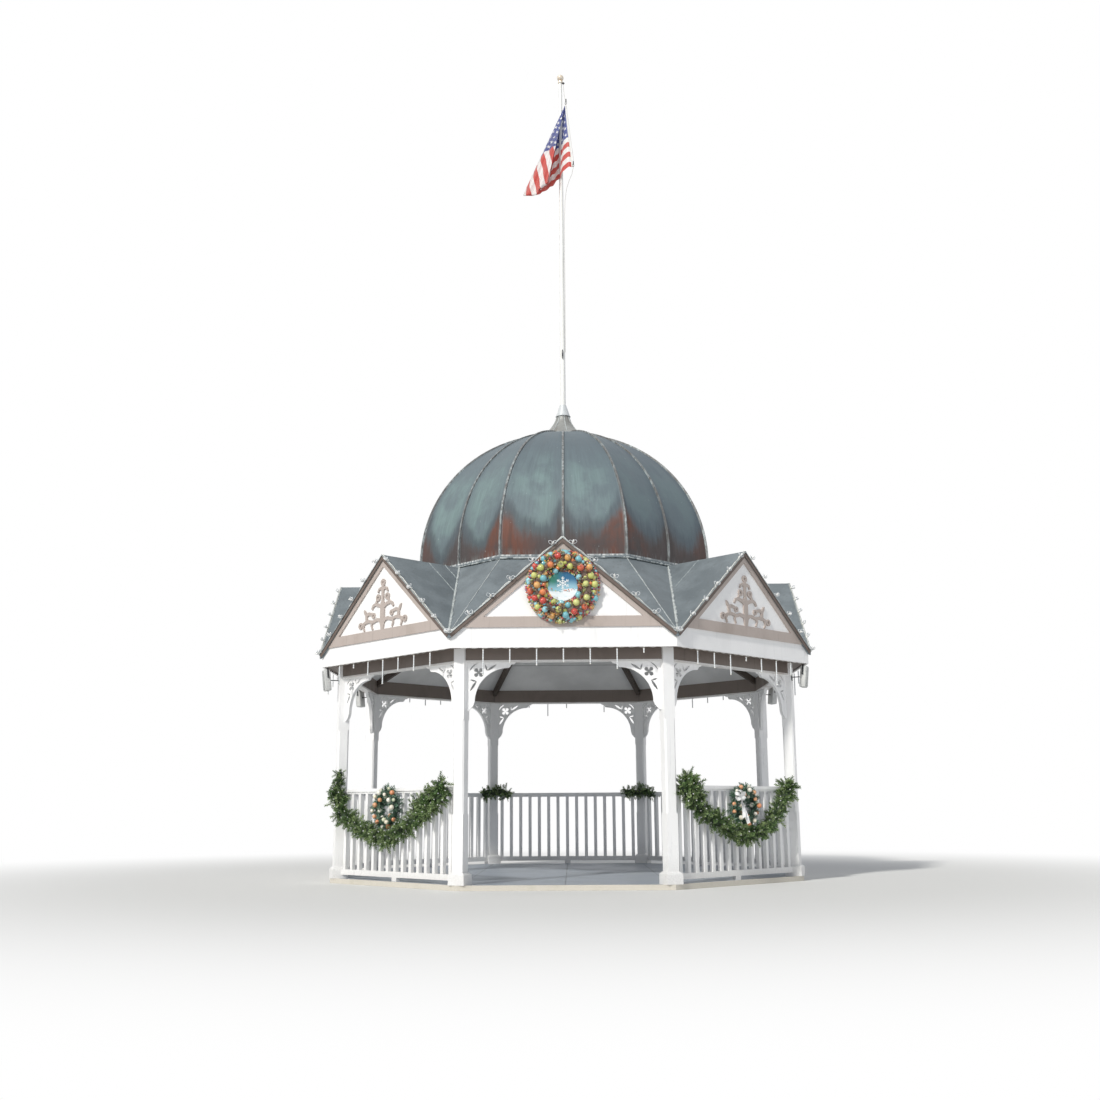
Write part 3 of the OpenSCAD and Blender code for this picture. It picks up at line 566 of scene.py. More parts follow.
def grow(name, tree, start, **values):
    """Runs a tree on a start mesh with the given inputs and keeps the result as a plain mesh."""
    source = bpy.data.objects.new(name + "_start", start)
    bpy.context.collection.objects.link(source)
    modifier = source.modifiers.new("grow", "NODES")
    modifier.node_group = tree
    for item in tree.interface.items_tree:
        if item.in_out == "INPUT" and item.name in values:
            modifier[item.identifier] = values[item.name]
    ready = source.evaluated_get(bpy.context.evaluated_depsgraph_get())
    mesh = bpy.data.meshes.new_from_object(ready)
    bpy.data.objects.remove(source)
    print(name, len(mesh.polygons), "faces")
    return settle(name, mesh)


print("tree helpers ready")

# %% [markdown]
# Start meshes and small shapes are plain lists of points and faces. A turned shape is a profile carried round an
# axis, as on a lathe. A shape that a tree repeats has to be an object, so it is stamped, and removed at the end.

# %% Plain mesh helpers
def paths(name, runs):
    """Open paths as one mesh of edges."""
    mesh = bpy.data.meshes.new(name)
    points, edges = [], []
    for run in runs:
        edges += [(len(points) + k, len(points) + k + 1) for k in range(len(run) - 1)]
        points += [tuple(p) for p in run]
    mesh.from_pydata(points, edges, [])
    return mesh


def shape(name, points, faces, finish=None):
    """A mesh from points and faces."""
    mesh = bpy.data.meshes.new(name)
    mesh.from_pydata([tuple(p) for p in points], [], faces)
    if finish:
        mesh.materials.append(finish)
    return mesh


def lathe(profile, sides):
    """Points and faces of a turned shape, from (radius, height) pairs that start and end on the axis."""
    points = [(0, 0, profile[0][1])]
    for radius, height in profile[1:-1]:
        points += [
            (radius * math.cos(k / sides * math.tau), radius * math.sin(k / sides * math.tau), height)
            for k in range(sides)
        ]
    points.append((0, 0, profile[-1][1]))
    rings, last = len(profile) - 2, len(points) - 1
    faces = [(0, 1 + (k + 1) % sides, 1 + k) for k in range(sides)]
    for r in range(rings - 1):
        low, high = 1 + r * sides, 1 + (r + 1) * sides
        faces += [(low + k, low + (k + 1) % sides, high + (k + 1) % sides, high + k) for k in range(sides)]
    top = 1 + (rings - 1) * sides
    faces += [(top + k, top + (k + 1) % sides, last) for k in range(sides)]
    return points, faces


STAMPS = []


def stamp(mesh):
    """A shape that a tree will repeat, as an object that is thrown away at the end."""
    held = bpy.data.objects.new(mesh.name, mesh)
    bpy.context.collection.objects.link(held)
    STAMPS.append(held.name)
    return held


print("mesh helpers ready")

# %% [markdown]
# **A bead along a path.** One tree serves for solder, sealant, wire and light tube. It resamples a path, lets its
# radius and its place wander by a share of its width, and sweeps a ring along it.

# %% Tree: bead along a path
bead, given = geometry_tree("bead", Width="Float", Ragged="Float", Step="Float", Grain="Float", Finish="Material")
path = add(bead, "GeometryNodeMeshToCurve", {"Mesh": given["Start"]}).outputs[0]
fine = add(bead, "GeometryNodeResampleCurve", {"Curve": path, "Length": given["Step"]}, mode="LENGTH").outputs[0]
noise = add(bead, "ShaderNodeTexNoise", {"Scale": given["Grain"], "Detail": 2.0, "Roughness": 0.6})
swing = calc(bead, "MULTIPLY", given["Ragged"], 5)
spread = calc(bead, "MULTIPLY", calc(bead, "SUBTRACT", noise.outputs[0], 0.5), swing)
radius = calc(bead, "MULTIPLY", calc(bead, "MULTIPLY", given["Width"], 0.5), calc(bead, "ADD", spread, 1.0))
radius = calc(bead, "MAXIMUM", radius, calc(bead, "MULTIPLY", given["Width"], 0.12))
shift = add(bead, "ShaderNodeVectorMath", {0: noise.outputs[1], 1: (-0.5, -0.5, -0.5)}, operation="ADD").outputs[0]
reach = calc(bead, "MULTIPLY", given["Width"], given["Ragged"])
shift = add(bead, "ShaderNodeVectorMath", {0: shift, "Scale": reach}, operation="SCALE").outputs[0]
moved = add(bead, "GeometryNodeSetPosition", {"Geometry": fine, "Offset": shift}).outputs[0]
ring = add(bead, "GeometryNodeCurvePrimitiveCircle", {"Resolution": 8, "Radius": 1.0}).outputs[0]
swept = {"Curve": moved, "Profile Curve": ring, "Scale": radius, "Fill Caps": True}
close_tree(bead, add(bead, "GeometryNodeCurveToMesh", swept).outputs[0], given["Finish"])
print("bead tree:", len(bead.nodes), "nodes")

# %% [markdown]
# **Solder on the roof.** The copper slopes are joined by hand with thick, ragged seams of solder and sealant that
# have gone pale. The widest lie in the valleys, from the middle of each dome face down to the eave corners. Thin ones
# run down the hips, others down the slopes where two sheets meet, and one goes round the foot of the dome.

# %% Solder seams
def down_valley(share, side, hand, lift=0.0):
    """A point in a valley, from the dome's foot (0) to the eave corner (1)."""
    out = DOME_AP + (ROOF_AP - DOME_AP) * share
    return to_side((hand * GABLE_HALF * share, -out, RIDGE - (RIDGE - EAVE) * share + lift), side)


def solder_finish(name, low, high, gaps):
    """Lumpy grey metal, paler where it is thick and dark where it has come away."""
    material, tree, shader, place = new_finish(name, 0.6)
    lumps = grain(tree, place, 35, detail=4.0)
    tone = blend_colours(tree, ramp(tree, lumps, 0.35, 0.65), low, high)
    tone = blend_colours(tree, ramp(tree, grain(tree, place, 120, detail=3.0), 0.52, 0.7, 0.0, 0.8), tone, gaps)
    tree.links.new(tone, shader.inputs["Base Color"])
    relief(tree, shader, lumps, 1.5)
    finishes[name] = material
    return material


solder = solder_finish("pale_solder", "#A9B0B0", "#CBD0CF", "#7D8383")
dull_solder = solder_finish("dull_solder", "#848D90", "#A7AFB0", "#6F777B")

valleys, hips, sheets = [], [], []
for side in range(8):
    for hand in (-1, 1):
        valleys.append([down_valley(k / 12, side, hand, 0.004) for k in range(13)])
    corner = (DOME_HALF, -DOME_AP, RIDGE)
    eave = (GABLE_HALF, -ROOF_AP, EAVE)
    hips.append([to_side(Vector(corner).lerp(Vector(eave), k / 10), side) for k in range(11)])
    # Joints of the sheets run straight down a slope, each from the ridge at this distance out to the valley
    for hand, out in ((-1, 2.50), (1, 2.50), (1 if side % 2 else -1, 2.23)):
        low = down_valley((out - DOME_AP) / (ROOF_AP - DOME_AP), side, hand)
        sheets.append([Vector(to_side((0, -out, RIDGE), side)).lerp(low, k / 8) for k in range(9)])
foot = [to_side((k * DOME_HALF, -DOME_AP - 0.022, RIDGE + 0.004), side) for side in range(8) for k in (-1, -0.4, 0.4)]
closed = paths("foot", [foot + foot[:1]])
grow("valley_solder", bead, paths("valleys", valleys), Width=0.034, Ragged=0.55, Step=0.018, Grain=14.0, Finish=solder)
grow("hip_solder", bead, paths("hips", hips), Width=0.011, Ragged=0.5, Step=0.02, Grain=12.0, Finish=solder)
grow("sheet_solder", bead, paths("sheets", sheets), Width=0.012, Ragged=0.6, Step=0.018, Grain=16.0, Finish=dull_solder)
grow("dome_foot_solder", bead, closed, Width=0.022, Ragged=0.6, Step=0.018, Grain=15.0, Finish=solder)

# %% [markdown]
# ** Roof edges over the gables.** The sheet ends in a folded copper lip. Under the lip a brown strip covers the ends of
# the roof boards; its brown is darkened as painted shade under the lip. Its foot throws a dark line on the taupe board
# behind it, drawn as a painted shadow line. All three are drawn as sections carried along the two slopes, with a
# mitre at the peak.

# %% Copper lips and brown strips
# Folded copper gone grey: a dull metal sheen that breaks up along the fold
drip_finish, tree, shader, place = new_finish("dark_folded_copper", 0.5, 0.4)
tone = blend_colours(tree, ramp(tree, grain(tree, place, 90, detail=4.0), 0.35, 0.7), "#8A9193", "#ABB1B1")
tone = blend_colours(tree, ramp(tree, grain(tree, place, 16, (1, 1, 5)), 0.55, 0.8, 0.0, 0.6), tone, "#5C6163")
tree.links.new(tone, shader.inputs["Base Color"])
relief(tree, shader, grain(tree, place, 60), 1.5)
finishes[drip_finish.name] = drip_finish


def rake_point(hand, share, down, out):
    """A point by a gable's roof edge: share from the peak to the eave, down square to the slope, out from the face."""
    x = (GABLE_HALF - down * math.sin(RAKE_ANGLE)) * share
    peak = RIDGE - down / math.cos(RAKE_ANGLE)
    return (hand * x, -ROOF_AP - out, peak - (RIDGE - EAVE) / GABLE_HALF * x)


def along_rakes(name, section, finish):
    """Carries a section, as (down, out) pairs, along the roof edges of all eight gables."""
    points, faces, n = [], [], len(section)
    for side in range(8):
        for hand in (-1, 1):
            first = len(points)
            for share in (0.0, 0.25, 0.5, 0.75, 1.0):
                points += [to_side(rake_point(hand, share, down, out), side) for down, out in section]
            for k in range(4):
                for m in range(n):
                    a, b = first + k * n + m, first + k * n + (m + 1) % n
                    quad = (a, b, b + n, a + n)
                    faces.append(quad if hand > 0 else quad[::-1])
            for k in (0, 4):
                end = tuple(first + k * n + m for m in range(n))
                faces.append(end if (k == 0) == (hand < 0) else end[::-1])
    settle(name, shape(name, points, faces, finish), smooth=False)
    print(name, len(faces), "faces")


lip = [
    (-0.003, -0.020), (-0.003, 0.012), (0.009, 0.014), (0.011, 0.012),
    (0.009, 0.010), (-0.0005, 0.009), (-0.0005, -0.020),
]
along_rakes("roof_edge_lips", lip, drip_finish)
strip = [(0.001, 0.0), (0.001, 0.005), (0.046, 0.005), (0.049, 0.002), (0.049, 0.0)]
# Brown paint on the strip, darkened further as painted shade under the lip
brown_gloss_and_shade = painted_timber("brown_gloss_on_softwood", "#6A5D56", "#6D6159", "#4E443D", 0.45, 0.0)
along_rakes("roof_edge_strips", strip, brown_gloss_and_shade)
# A painted shadow line: a thin strip in the rafters' dark stain, where the brown strip's foot shades the taupe board
shadow_line = [(0.049, 0.0), (0.049, 0.0015), (0.056, 0.0015), (0.056, 0.0)]
along_rakes("roof_edge_gaps", shadow_line, finishes["dark_stain_on_rafters"])

# %% [markdown]
# **Light strings on the gables.** A white wire follows the edge of every gable roof, clipped on every 300 mm with a
# cone-shaped bulb at each clip. The clip is a bow of two clear plastic loops that grip the roof edge, so from below
# each light reads as a small pale knot. The wire dips between two clips, and no two bulbs stand at the same angle.

# %% Bulb and clip
# Moulded vinyl left outdoors: an even, soft sheen, gone a little cream
white_plastic, tree, shader, place = new_finish("aged_white_plastic", 0.4)
tone = blend_colours(tree, ramp(tree, grain(tree, place, 30, detail=3.0), 0.4, 0.7), "#F1F1EC", "#DCDCD3")
tree.links.new(tone, shader.inputs["Base Color"])
relief(tree, shader, grain(tree, place, 8), 0.2)
# Glass frosted in fine cells: milky, with small glints on its clear coat
frosted_glass, tree, shader, place = new_finish("frosted_bulb_glass", 0.18)
tone = blend_colours(tree, ramp(tree, grain(tree, place, 14, detail=2.0), 0.4, 0.65), "#FBFBF8", "#E3E6E8")
tree.links.new(tone, shader.inputs["Base Color"])
shader.inputs["Coat Weight"].default_value = 0.6
relief(tree, shader, add(tree, "ShaderNodeTexVoronoi", {"Vector": place, "Scale": 260.0}).outputs[0], 0.4)
# Pressed clear plastic: pale, and a quarter of the light goes through it
clear_plastic, tree, shader, place = new_finish("clear_clip_plastic", 0.25)
tone = blend_colours(tree, ramp(tree, grain(tree, place, 12, detail=2.0), 0.4, 0.65), "#F2F5F7", "#D5DCE2")
tree.links.new(tone, shader.inputs["Base Color"])
shader.inputs["Transmission Weight"].default_value = 0.25
relief(tree, shader, grain(tree, place, 4), 0.15)
finishes.update({m.name: m for m in (white_plastic, frosted_glass, clear_plastic)})

glass_profile = [
    (0, 0.014), (0.0095, 0.014), (0.0135, 0.024), (0.0125, 0.040), (0.0085, 0.055), (0.003, 0.064), (0, 0.066),
]
socket_profile = [(0, -0.016), (0.0085, -0.016), (0.011, -0.008), (0.0105, 0.012), (0.0095, 0.015), (0, 0.015)]


def pointing_out(profile, sides):
    """A turned shape laid over by 65 degrees, so that it points to the front and a little up."""
    points, faces = lathe(profile, sides)
    return [(x, 0.42 * y - 0.91 * z, 0.91 * y + 0.42 * z) for x, y, z in points], faces


glass = stamp(shape("bulb_glass", *pointing_out(glass_profile, 12)))
socket = stamp(shape("bulb_socket", *pointing_out(socket_profile, 10)))


def clip_bow():
    """Two loops of flat plastic side by side, a little open towards the front."""
    points, faces = [], []
    for hand in (-1, 1):
        first, turns = len(points), 14
        for k in range(turns):
            a = k / turns * math.tau
            round_x = hand * (0.024 + 0.021 * math.cos(a))
            round_z = 0.012 + 0.018 * math.sin(a) + 0.25 * abs(round_x)
            for out, wide in ((0.0, -0.004), (0.0, 0.004), (0.0055, 0.004), (0.0055, -0.004)):
                way = Vector((hand * math.cos(a), 0, math.sin(a)))
                points.append(Vector((round_x, -0.014 - 0.3 * abs(round_x) + wide, round_z)) + way * out)
        for k in range(turns):
            for m in range(4):
                a, b = first + k * 4 + m, first + (k + 1) % turns * 4 + m
                c, d = first + (k + 1) % turns * 4 + (m + 1) % 4, first + k * 4 + (m + 1) % 4
                faces.append((a, b, c, d) if hand < 0 else (d, c, b, a))
    return points, faces


bow = stamp(shape("clip_bow", *clip_bow()))
print("bulb of glass and socket, clip with", len(bow.data.polygons), "faces")

# %% [markdown]
# **Small things along a line.** One tree sets a shape on a line at an even pitch. It turns each copy to the side of
# the building on which it stands, and then tips it by chance, within a tilt that is given.

# %% Tree: things set along a line
bulbs, given = geometry_tree(
    "bulbs_on_a_line", Pitch="Float", Bulb="Object", Tilt="Float", Seed="Int", Finish="Material"
)
line = add(bulbs, "GeometryNodeMeshToCurve", {"Mesh": given["Start"]}).outputs[0]
spots = add(bulbs, "GeometryNodeCurveToPoints", {"Curve": line, "Length": given["Pitch"]}, mode="LENGTH").outputs[0]
lean = calc(bulbs, "MULTIPLY", given["Tilt"], -1.0)
low = add(bulbs, "ShaderNodeCombineXYZ", {0: lean, 1: lean, 2: lean}).outputs[0]
high = add(bulbs, "ShaderNodeCombineXYZ", {0: given["Tilt"], 1: given["Tilt"], 2: given["Tilt"]}).outputs[0]
turn = add(bulbs, "FunctionNodeRandomValue", {0: low, 1: high, 8: given["Seed"]}, data_type="FLOAT_VECTOR").outputs[0]
at = add(bulbs, "ShaderNodeSeparateXYZ", {0: add(bulbs, "GeometryNodeInputPosition").outputs[0]})
facing = calc(bulbs, "ARCTAN2", at.outputs["X"], calc(bulbs, "MULTIPLY", at.outputs["Y"], -1.0))
eighths = calc(bulbs, "ROUND", calc(bulbs, "DIVIDE", facing, EIGHTH))
to_face = add(bulbs, "ShaderNodeCombineXYZ", {2: calc(bulbs, "MULTIPLY", eighths, EIGHTH)}).outputs[0]
turn = add(bulbs, "ShaderNodeVectorMath", {0: turn, 1: to_face}, operation="ADD").outputs[0]
one = add(bulbs, "GeometryNodeObjectInfo", {"Object": given["Bulb"], "As Instance": True}).outputs["Geometry"]
placed = add(bulbs, "GeometryNodeInstanceOnPoints", {"Points": spots, "Instance": one, "Rotation": turn}).outputs[0]
close_tree(bulbs, placed, given["Finish"])
print("tree for things along a line:", len(bulbs.nodes), "nodes")

# %% [markdown]
# The wire and the lights share one path over each gable. The wire sags by 16 mm between two clips. The bulbs, the
# sockets and the clips stand on the straight line, with the same seed, so each bulb keeps to its own socket.

# %% Strings over the gables
CLIPS = round(RAKE_LENGTH / 0.30)


def rake_line(side, sag):
    """Light string over a gable: up one slope, over the peak, down the other, dipping between its clips."""
    up_slope = [(1 - k / (CLIPS * 4), sag * math.sin(k % 4 / 4 * math.pi)) for k in range(CLIPS * 4 + 1)]
    run = []
    for share, dip in [(-share, dip) for share, dip in up_slope] + up_slope[-2::-1]:
        height = RIDGE + 0.016 - abs(share) * (RIDGE - EAVE) - dip
        run.append(to_side((share * GABLE_HALF, -ROOF_AP - 0.004 + dip * 0.2, height), side))
    return run


strings = paths("strings", [rake_line(side, 0.016) for side in range(8)])
wire = grow("rake_light_wires", bead, strings, Width=0.009, Ragged=0.0, Step=0.04, Grain=1.0, Finish=white_plastic)
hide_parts("rake_light_strings")
straight = paths("straight", [rake_line(side, 0.0) for side in range(8)])
same = {"Pitch": RAKE_LENGTH / CLIPS * 1.0001, "Tilt": 0.42, "Seed": 4}
grow("rake_bulbs", bulbs, straight, Bulb=glass, Finish=frosted_glass, **same)
grow("rake_bulb_sockets", bulbs, straight, Bulb=socket, Finish=white_plastic, **same)
grow("rake_clips", bulbs, straight, Bulb=bow, Finish=clear_plastic, **{**same, "Tilt": 0.22})

# %% [markdown]
# **Hanging light tubes.** Under the foot of the fascia a white tube hangs every 315 mm in eight uneven lengths, the
# kind whose light runs downwards. Each is a clear-white tube with a cap at both ends on a short lead, and a thin wire
# joins the leads along the back of the fascia board.

# %% Light tubes
TUBE_LENGTHS = [0.320, 0.180, 0.210, 0.175, 0.200, 0.260, 0.070, 0.190]
TUBE_PITCH = 0.315
# Milky acrylic: smooth and glossy, and the lamps inside show as faint ticks every 20 mm
tube_finish, tree, shader, place = new_finish("milky_light_tube", 0.22)
ticks = calc(tree, "PINGPONG", add(tree, "ShaderNodeSeparateXYZ", {0: place}).outputs["Z"], 0.010)
tone = blend_colours(tree, ramp(tree, ticks, 0.0055, 0.0075), "#EEF1F2", "#CDD3D6")
tree.links.new(tone, shader.inputs["Base Color"])
relief(tree, shader, grain(tree, place, 5), 0.1)
finishes[tube_finish.name] = tube_finish
tubes, leads, caps, trunk_wire = [], [], [], []
for side in range(8):
    for k in range(7):
        x, y, foot = (k - 3) * TUBE_PITCH, -WALL_AP + 0.0125, FASCIA_FOOT - TUBE_LENGTHS[(k + 3 * side) % 8]
        tubes.append([to_side((x, y, foot), side), to_side((x, y, FASCIA_FOOT - 0.022), side)])
        leads.append([to_side((x, y, FASCIA_FOOT - 0.016), side), to_side((x, y, FASCIA_FOOT + 0.004), side)])
        for z in (foot - 0.001, FASCIA_FOOT - 0.030):
            caps.append([to_side((x, y, z), side), to_side((x, y, z + 0.010), side)])
    half = WALL_AP * math.tan(HALF) - 0.10
    behind = [(half * (j / 40 * 2 - 1), -WALL_AP + 0.029, FASCIA_FOOT + 0.006 - 0.012 * (j % 2)) for j in range(41)]
    trunk_wire.append([to_side(spot, side) for spot in behind])
smooth_run = {"Ragged": 0.0, "Grain": 1.0}
hung = grow("light_tubes", bead, paths("tubes", tubes), Width=0.016, Step=0.05, Finish=tube_finish, **smooth_run)
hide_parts("icicle_lights")
grow("light_tube_caps", bead, paths("caps", caps), Width=0.0185, Step=0.01, Finish=white_plastic, **smooth_run)
wires = paths("leads", leads + trunk_wire)
grow("light_tube_leads", bead, wires, Width=0.005, Step=0.03, Finish=white_plastic, **smooth_run)

# %% [markdown]
# ** Artificial fir.** The greenery is plastic fir of the kind sold by the metre: wire-stemmed tips with soft flat
# needles, dense round a core. A tip is drawn once, with a number on every point that says how far it is from
# the stem, and each copy gets a number of its own. The finish reads both: needles are dark at the stem, partly
# their own darker green and partly painted shade deep in the fir, and bright at the ends, and some tips are
# yellower than others. The core takes the same dark colour all over.

# %% A fir tip
def fir_tip(name, length, needle, count, width):
    """Flat needles in a spiral round a stem that stands along +Z."""
    points, faces, reach = [], [], []
    for k in range(3):
        points += [(0.0016 * math.cos(k * 2.1), 0.0016 * math.sin(k * 2.1), z) for z in (0, length)]
        faces.append((2 * k, 2 * ((k + 1) % 3), 2 * ((k + 1) % 3) + 1, 2 * k + 1))
    reach += [0.0] * 6
    for k in range(count):
        share = (k + 0.5) / count
        turn = k * 2.4
        out = Vector((math.cos(turn), math.sin(turn), 0))
        side = Vector((-math.sin(turn), math.cos(turn), 0)) * width / 2
        foot = Vector((0, 0, length * (0.05 + 0.93 * share)))
        tip_at = foot + (out * 0.72 + Vector((0, 0, 0.72))) * needle * (1.0 - 0.45 * share)
        middle = foot.lerp(tip_at, 0.5) + Vector((0, 0, 0.003))
        first = len(points)
        points += [foot, middle + side, tip_at, middle - side]
        faces.append((first, first + 1, first + 2, first + 3))
        reach += [0.1, 0.55, 1.0, 0.55]
    mesh = shape(name, points, faces)
    mesh.attributes.new("reach", "FLOAT", "POINT").data.foreach_set("value", reach)
    return stamp(mesh)


def fir_finish(name, dark, middle, bright):
    """Plastic needles, dark by the stem, partly as painted shade deep in the fir, bright at their ends, with a tint for
    each copy.
    """
    material, tree, shader, place = new_finish(name, 0.55)
    reach = add(tree, "ShaderNodeAttribute", attribute_name="reach").outputs["Fac"]
    tint = add(tree, "ShaderNodeAttribute", attribute_name="tint").outputs["Fac"]
    leaf = blend_colours(tree, ramp(tree, tint, 0.1, 0.9), middle, bright)
    # Dark towards the stem: partly the needles' own darker green, partly painted shade deep in the fir. The core
    # carries no reach, so it takes the dark colour all over
    tone = blend_colours(tree, ramp(tree, reach, 0.0, 0.9, 0.0, 1.0), dark, leaf)
    tone = blend_colours(tree, ramp(tree, grain(tree, place, 70, detail=2.0), 0.5, 0.75, 0.0, 0.4), tone, dark)
    tree.links.new(tone, shader.inputs["Base Color"])
    relief(tree, shader, grain(tree, place, 3), 0.3)
    finishes[name] = material
    return material


long_tip = fir_tip("long_fir_tip", 0.080, 0.034, 22, 0.0085)
short_tip = fir_tip("short_fir_tip", 0.055, 0.026, 16, 0.0062)
green_fir = fir_finish("plastic_fir_green", "#24361C", "#628548", "#B2C98A")
blue_fir = fir_finish("plastic_fir_blue_green", "#2C4537", "#5C8A6E", "#A1C2A8")
dull_fir = fir_finish("faded_sprigs", "#6E5A50", "#9C8C76", "#BDB698")
print("fir tips ready")

# %% [markdown]
# **Growing fir round a core.** The tree sweeps a thin core along a path, scatters points on it, and sets a tip on
# every point, leaning out from the core with some chance in its direction, its size and its tint.

# %% Tree: fir round a path
def scatter(tree, surface, density, seed, lean):
    """Points on a surface with a rotation near its normal."""
    spots = add(tree, "GeometryNodeDistributePointsOnFaces", {"Mesh": surface, "Density": density, "Seed": seed})
    chance = {0: (-1, -1, -1), 1: (1, 1, 1), 8: seed}
    off = add(tree, "FunctionNodeRandomValue", chance, data_type="FLOAT_VECTOR").outputs[0]
    off = add(tree, "ShaderNodeVectorMath", {0: off, "Scale": lean}, operation="SCALE").outputs[0]
    way = add(tree, "ShaderNodeVectorMath", {0: spots.outputs["Normal"], 1: off}, operation="ADD").outputs[0]
    turned = add(tree, "FunctionNodeAlignRotationToVector", {"Vector": way}, axis="Z").outputs[0]
    return spots.outputs["Points"], turned


def repeat(tree, spots, shape_input, turned, low, high, seed):
    """Copies of a shape on points, of random size, each with a random number in its tint."""
    one = add(tree, "GeometryNodeObjectInfo", {"Object": shape_input, "As Instance": True}).outputs["Geometry"]
    size = add(tree, "FunctionNodeRandomValue", {2: low, 3: high, 8: seed}, data_type="FLOAT").outputs[1]
    inputs = {"Points": spots, "Instance": one, "Scale": size}
    if turned:
        cloud = add(tree, "ShaderNodeTexNoise", {"Scale": 9.0, "Detail": 1.0}).outputs[0]
        clumps = ramp(tree, cloud, 0.38, 0.62, 0.72, 1.22)
        inputs.update(Rotation=turned, Scale=calc(tree, "MULTIPLY", size, clumps))
    placed = add(tree, "GeometryNodeInstanceOnPoints", inputs).outputs[0]
    chance = {2: 0.0, 3: 1.0, 8: calc(tree, "ADD", seed, 7.0)}
    tint = add(tree, "FunctionNodeRandomValue", chance, data_type="FLOAT").outputs[1]
    stored = {"Geometry": placed, "Name": "tint", "Value": tint}
    return add(tree, "GeometryNodeStoreNamedAttribute", stored, data_type="FLOAT", domain="INSTANCE").outputs[0]


fir, given = geometry_tree(
    "fir_on_a_path", Core="Float", Density="Float", Tip="Object", Lean="Float", Seed="Int", Finish="Material"
)
line = add(fir, "GeometryNodeMeshToCurve", {"Mesh": given["Start"]}).outputs[0]
line = add(fir, "GeometryNodeResampleCurve", {"Curve": line, "Length": 0.03}, mode="LENGTH").outputs[0]
ring = add(fir, "GeometryNodeCurvePrimitiveCircle", {"Resolution": 9, "Radius": given["Core"]}).outputs[0]
core = add(fir, "GeometryNodeCurveToMesh", {"Curve": line, "Profile Curve": ring, "Fill Caps": True}).outputs[0]
spots, turned = scatter(fir, core, given["Density"], given["Seed"], given["Lean"])
tips = repeat(fir, spots, given["Tip"], turned, 0.50, 1.45, given["Seed"])
both = add(fir, "GeometryNodeJoinGeometry")
for part in (core, tips):
    fir.links.new(part, both.inputs[0])
close_tree(fir, both.outputs[0], given["Finish"])
print("fir tree:", len(fir.nodes), "nodes")

# %% [markdown]
# **Balls on a surface.** The tree spreads points over a surface with a least gap between them, so balls crowd without
# sinking far into each other. Each gets a size and a number for its colour by chance. It serves for baubles, for the
# small lamps in the swags and for coloured beads.

# %% Tree: balls on a surface
beads, given = geometry_tree(
    "balls_on_a_surface", Gap="Float", Smallest="Float", Largest="Float", Ball="Object", Seed="Int", Finish="Material"
)
dense = {"Mesh": given["Start"], "Distance Min": given["Gap"], "Density Max": 4000.0, "Seed": given["Seed"]}
spots = add(beads, "GeometryNodeDistributePointsOnFaces", dense, distribute_method="POISSON").outputs["Points"]
balls = repeat(beads, spots, given["Ball"], None, given["Smallest"], given["Largest"], given["Seed"])
close_tree(beads, balls, given["Finish"])
print("ball tree:", len(beads.nodes), "nodes")

# %% [markdown]
# **Swags on the two front side railings.** Each hangs from the two posts, crosses the hand rail and is lowest near the
# middle of the balusters. The paths below were measured on the photograph. They aren't symmetrical: both are lowest a
# little past the middle, away from the front. A short second run thickens each at its front post, and on the left a
# thin end stands up at the far one.

# %% Swags
def curve_through(points, step):
    """Smooth run of points through the measured ones."""
    run = []
    for k in range(len(points) - 1):
        a, b, c, d = (Vector(points[min(max(k + j, 0), len(points) - 1)]) for j in (-1, 0, 1, 2))
        for m in range(step):
            t = m / step
            slope, bend = (c - a) * t, (2 * a - 5 * b + 4 * c - d) * t * t
            run.append(0.5 * (2 * b + slope + bend + (3 * b - a - 3 * c + d) * t**3))
    return run + [Vector(points[-1])]


# Along the bay from its middle, and up from the ground
LEFT_SWAG = [
    (-1.10, 1.14), (-1.08, 1.0), (-0.93, 0.84), (-0.52, 0.67), (-0.08, 0.575),
    (0.18, 0.64), (0.52, 0.80), (0.83, 0.96), (1.05, 1.08),
]
RIGHT_SWAG = [
    (-1.10, 1.25), (-1.06, 1.11), (-0.83, 0.91), (-0.50, 0.75), (-0.14, 0.62), (0.09, 0.575),
    (0.38, 0.64), (0.62, 0.80), (0.82, 0.98), (0.93, 1.13), (0.97, 1.23),
]
LEFT_CLUMP = [(0.56, 0.92), (0.83, 1.07), (1.05, 1.21)]
RIGHT_CLUMP = [(-1.02, 1.27), (-0.97, 1.16), (-0.86, 1.06)]
THIN_END = [(-1.06, 1.40), (-1.08, 1.28), (-1.10, 1.12)]
SWAG_AP = POST_AP + 0.135
random.seed(12)
swags = []
for side, spots in ((7, LEFT_SWAG), (1, RIGHT_SWAG), (7, LEFT_CLUMP), (1, RIGHT_CLUMP)):
    run = []
    for spot in curve_through([(s, -SWAG_AP, z) for s, z in spots], 8):
        off = (random.uniform(-0.02, 0.02), random.uniform(-0.020, 0.015), random.uniform(-0.026, 0.026))
        run.append(to_side(spot + Vector(off), side))
    swags.append(run)
thick = {"Core": 0.047, "Density": 1200.0, "Tip": long_tip, "Lean": 1.25, "Seed": 3}
hung = grow("fir_swags", fir, paths("swags", swags), Finish=green_fir, **thick)
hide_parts("garlands")
end = paths("end", [[to_side((s, -SWAG_AP, z), 7) for s, z in THIN_END]])
grow("swag_end", fir, end, Core=0.032, Density=1900.0, Tip=short_tip, Lean=1.25, Seed=11, Finish=green_fir)

# %% [markdown]
# **Small lamps in the swags.** A string of small frosted lamps is wound through each swag and shows as pale dots
# among the needles. The ball tree sets them on a sleeve round the swag's path, and the sleeve isn't kept. A ball is
# 1 m across until it is scaled. The fine one serves for baubles, the coarse one for lamps and beads.

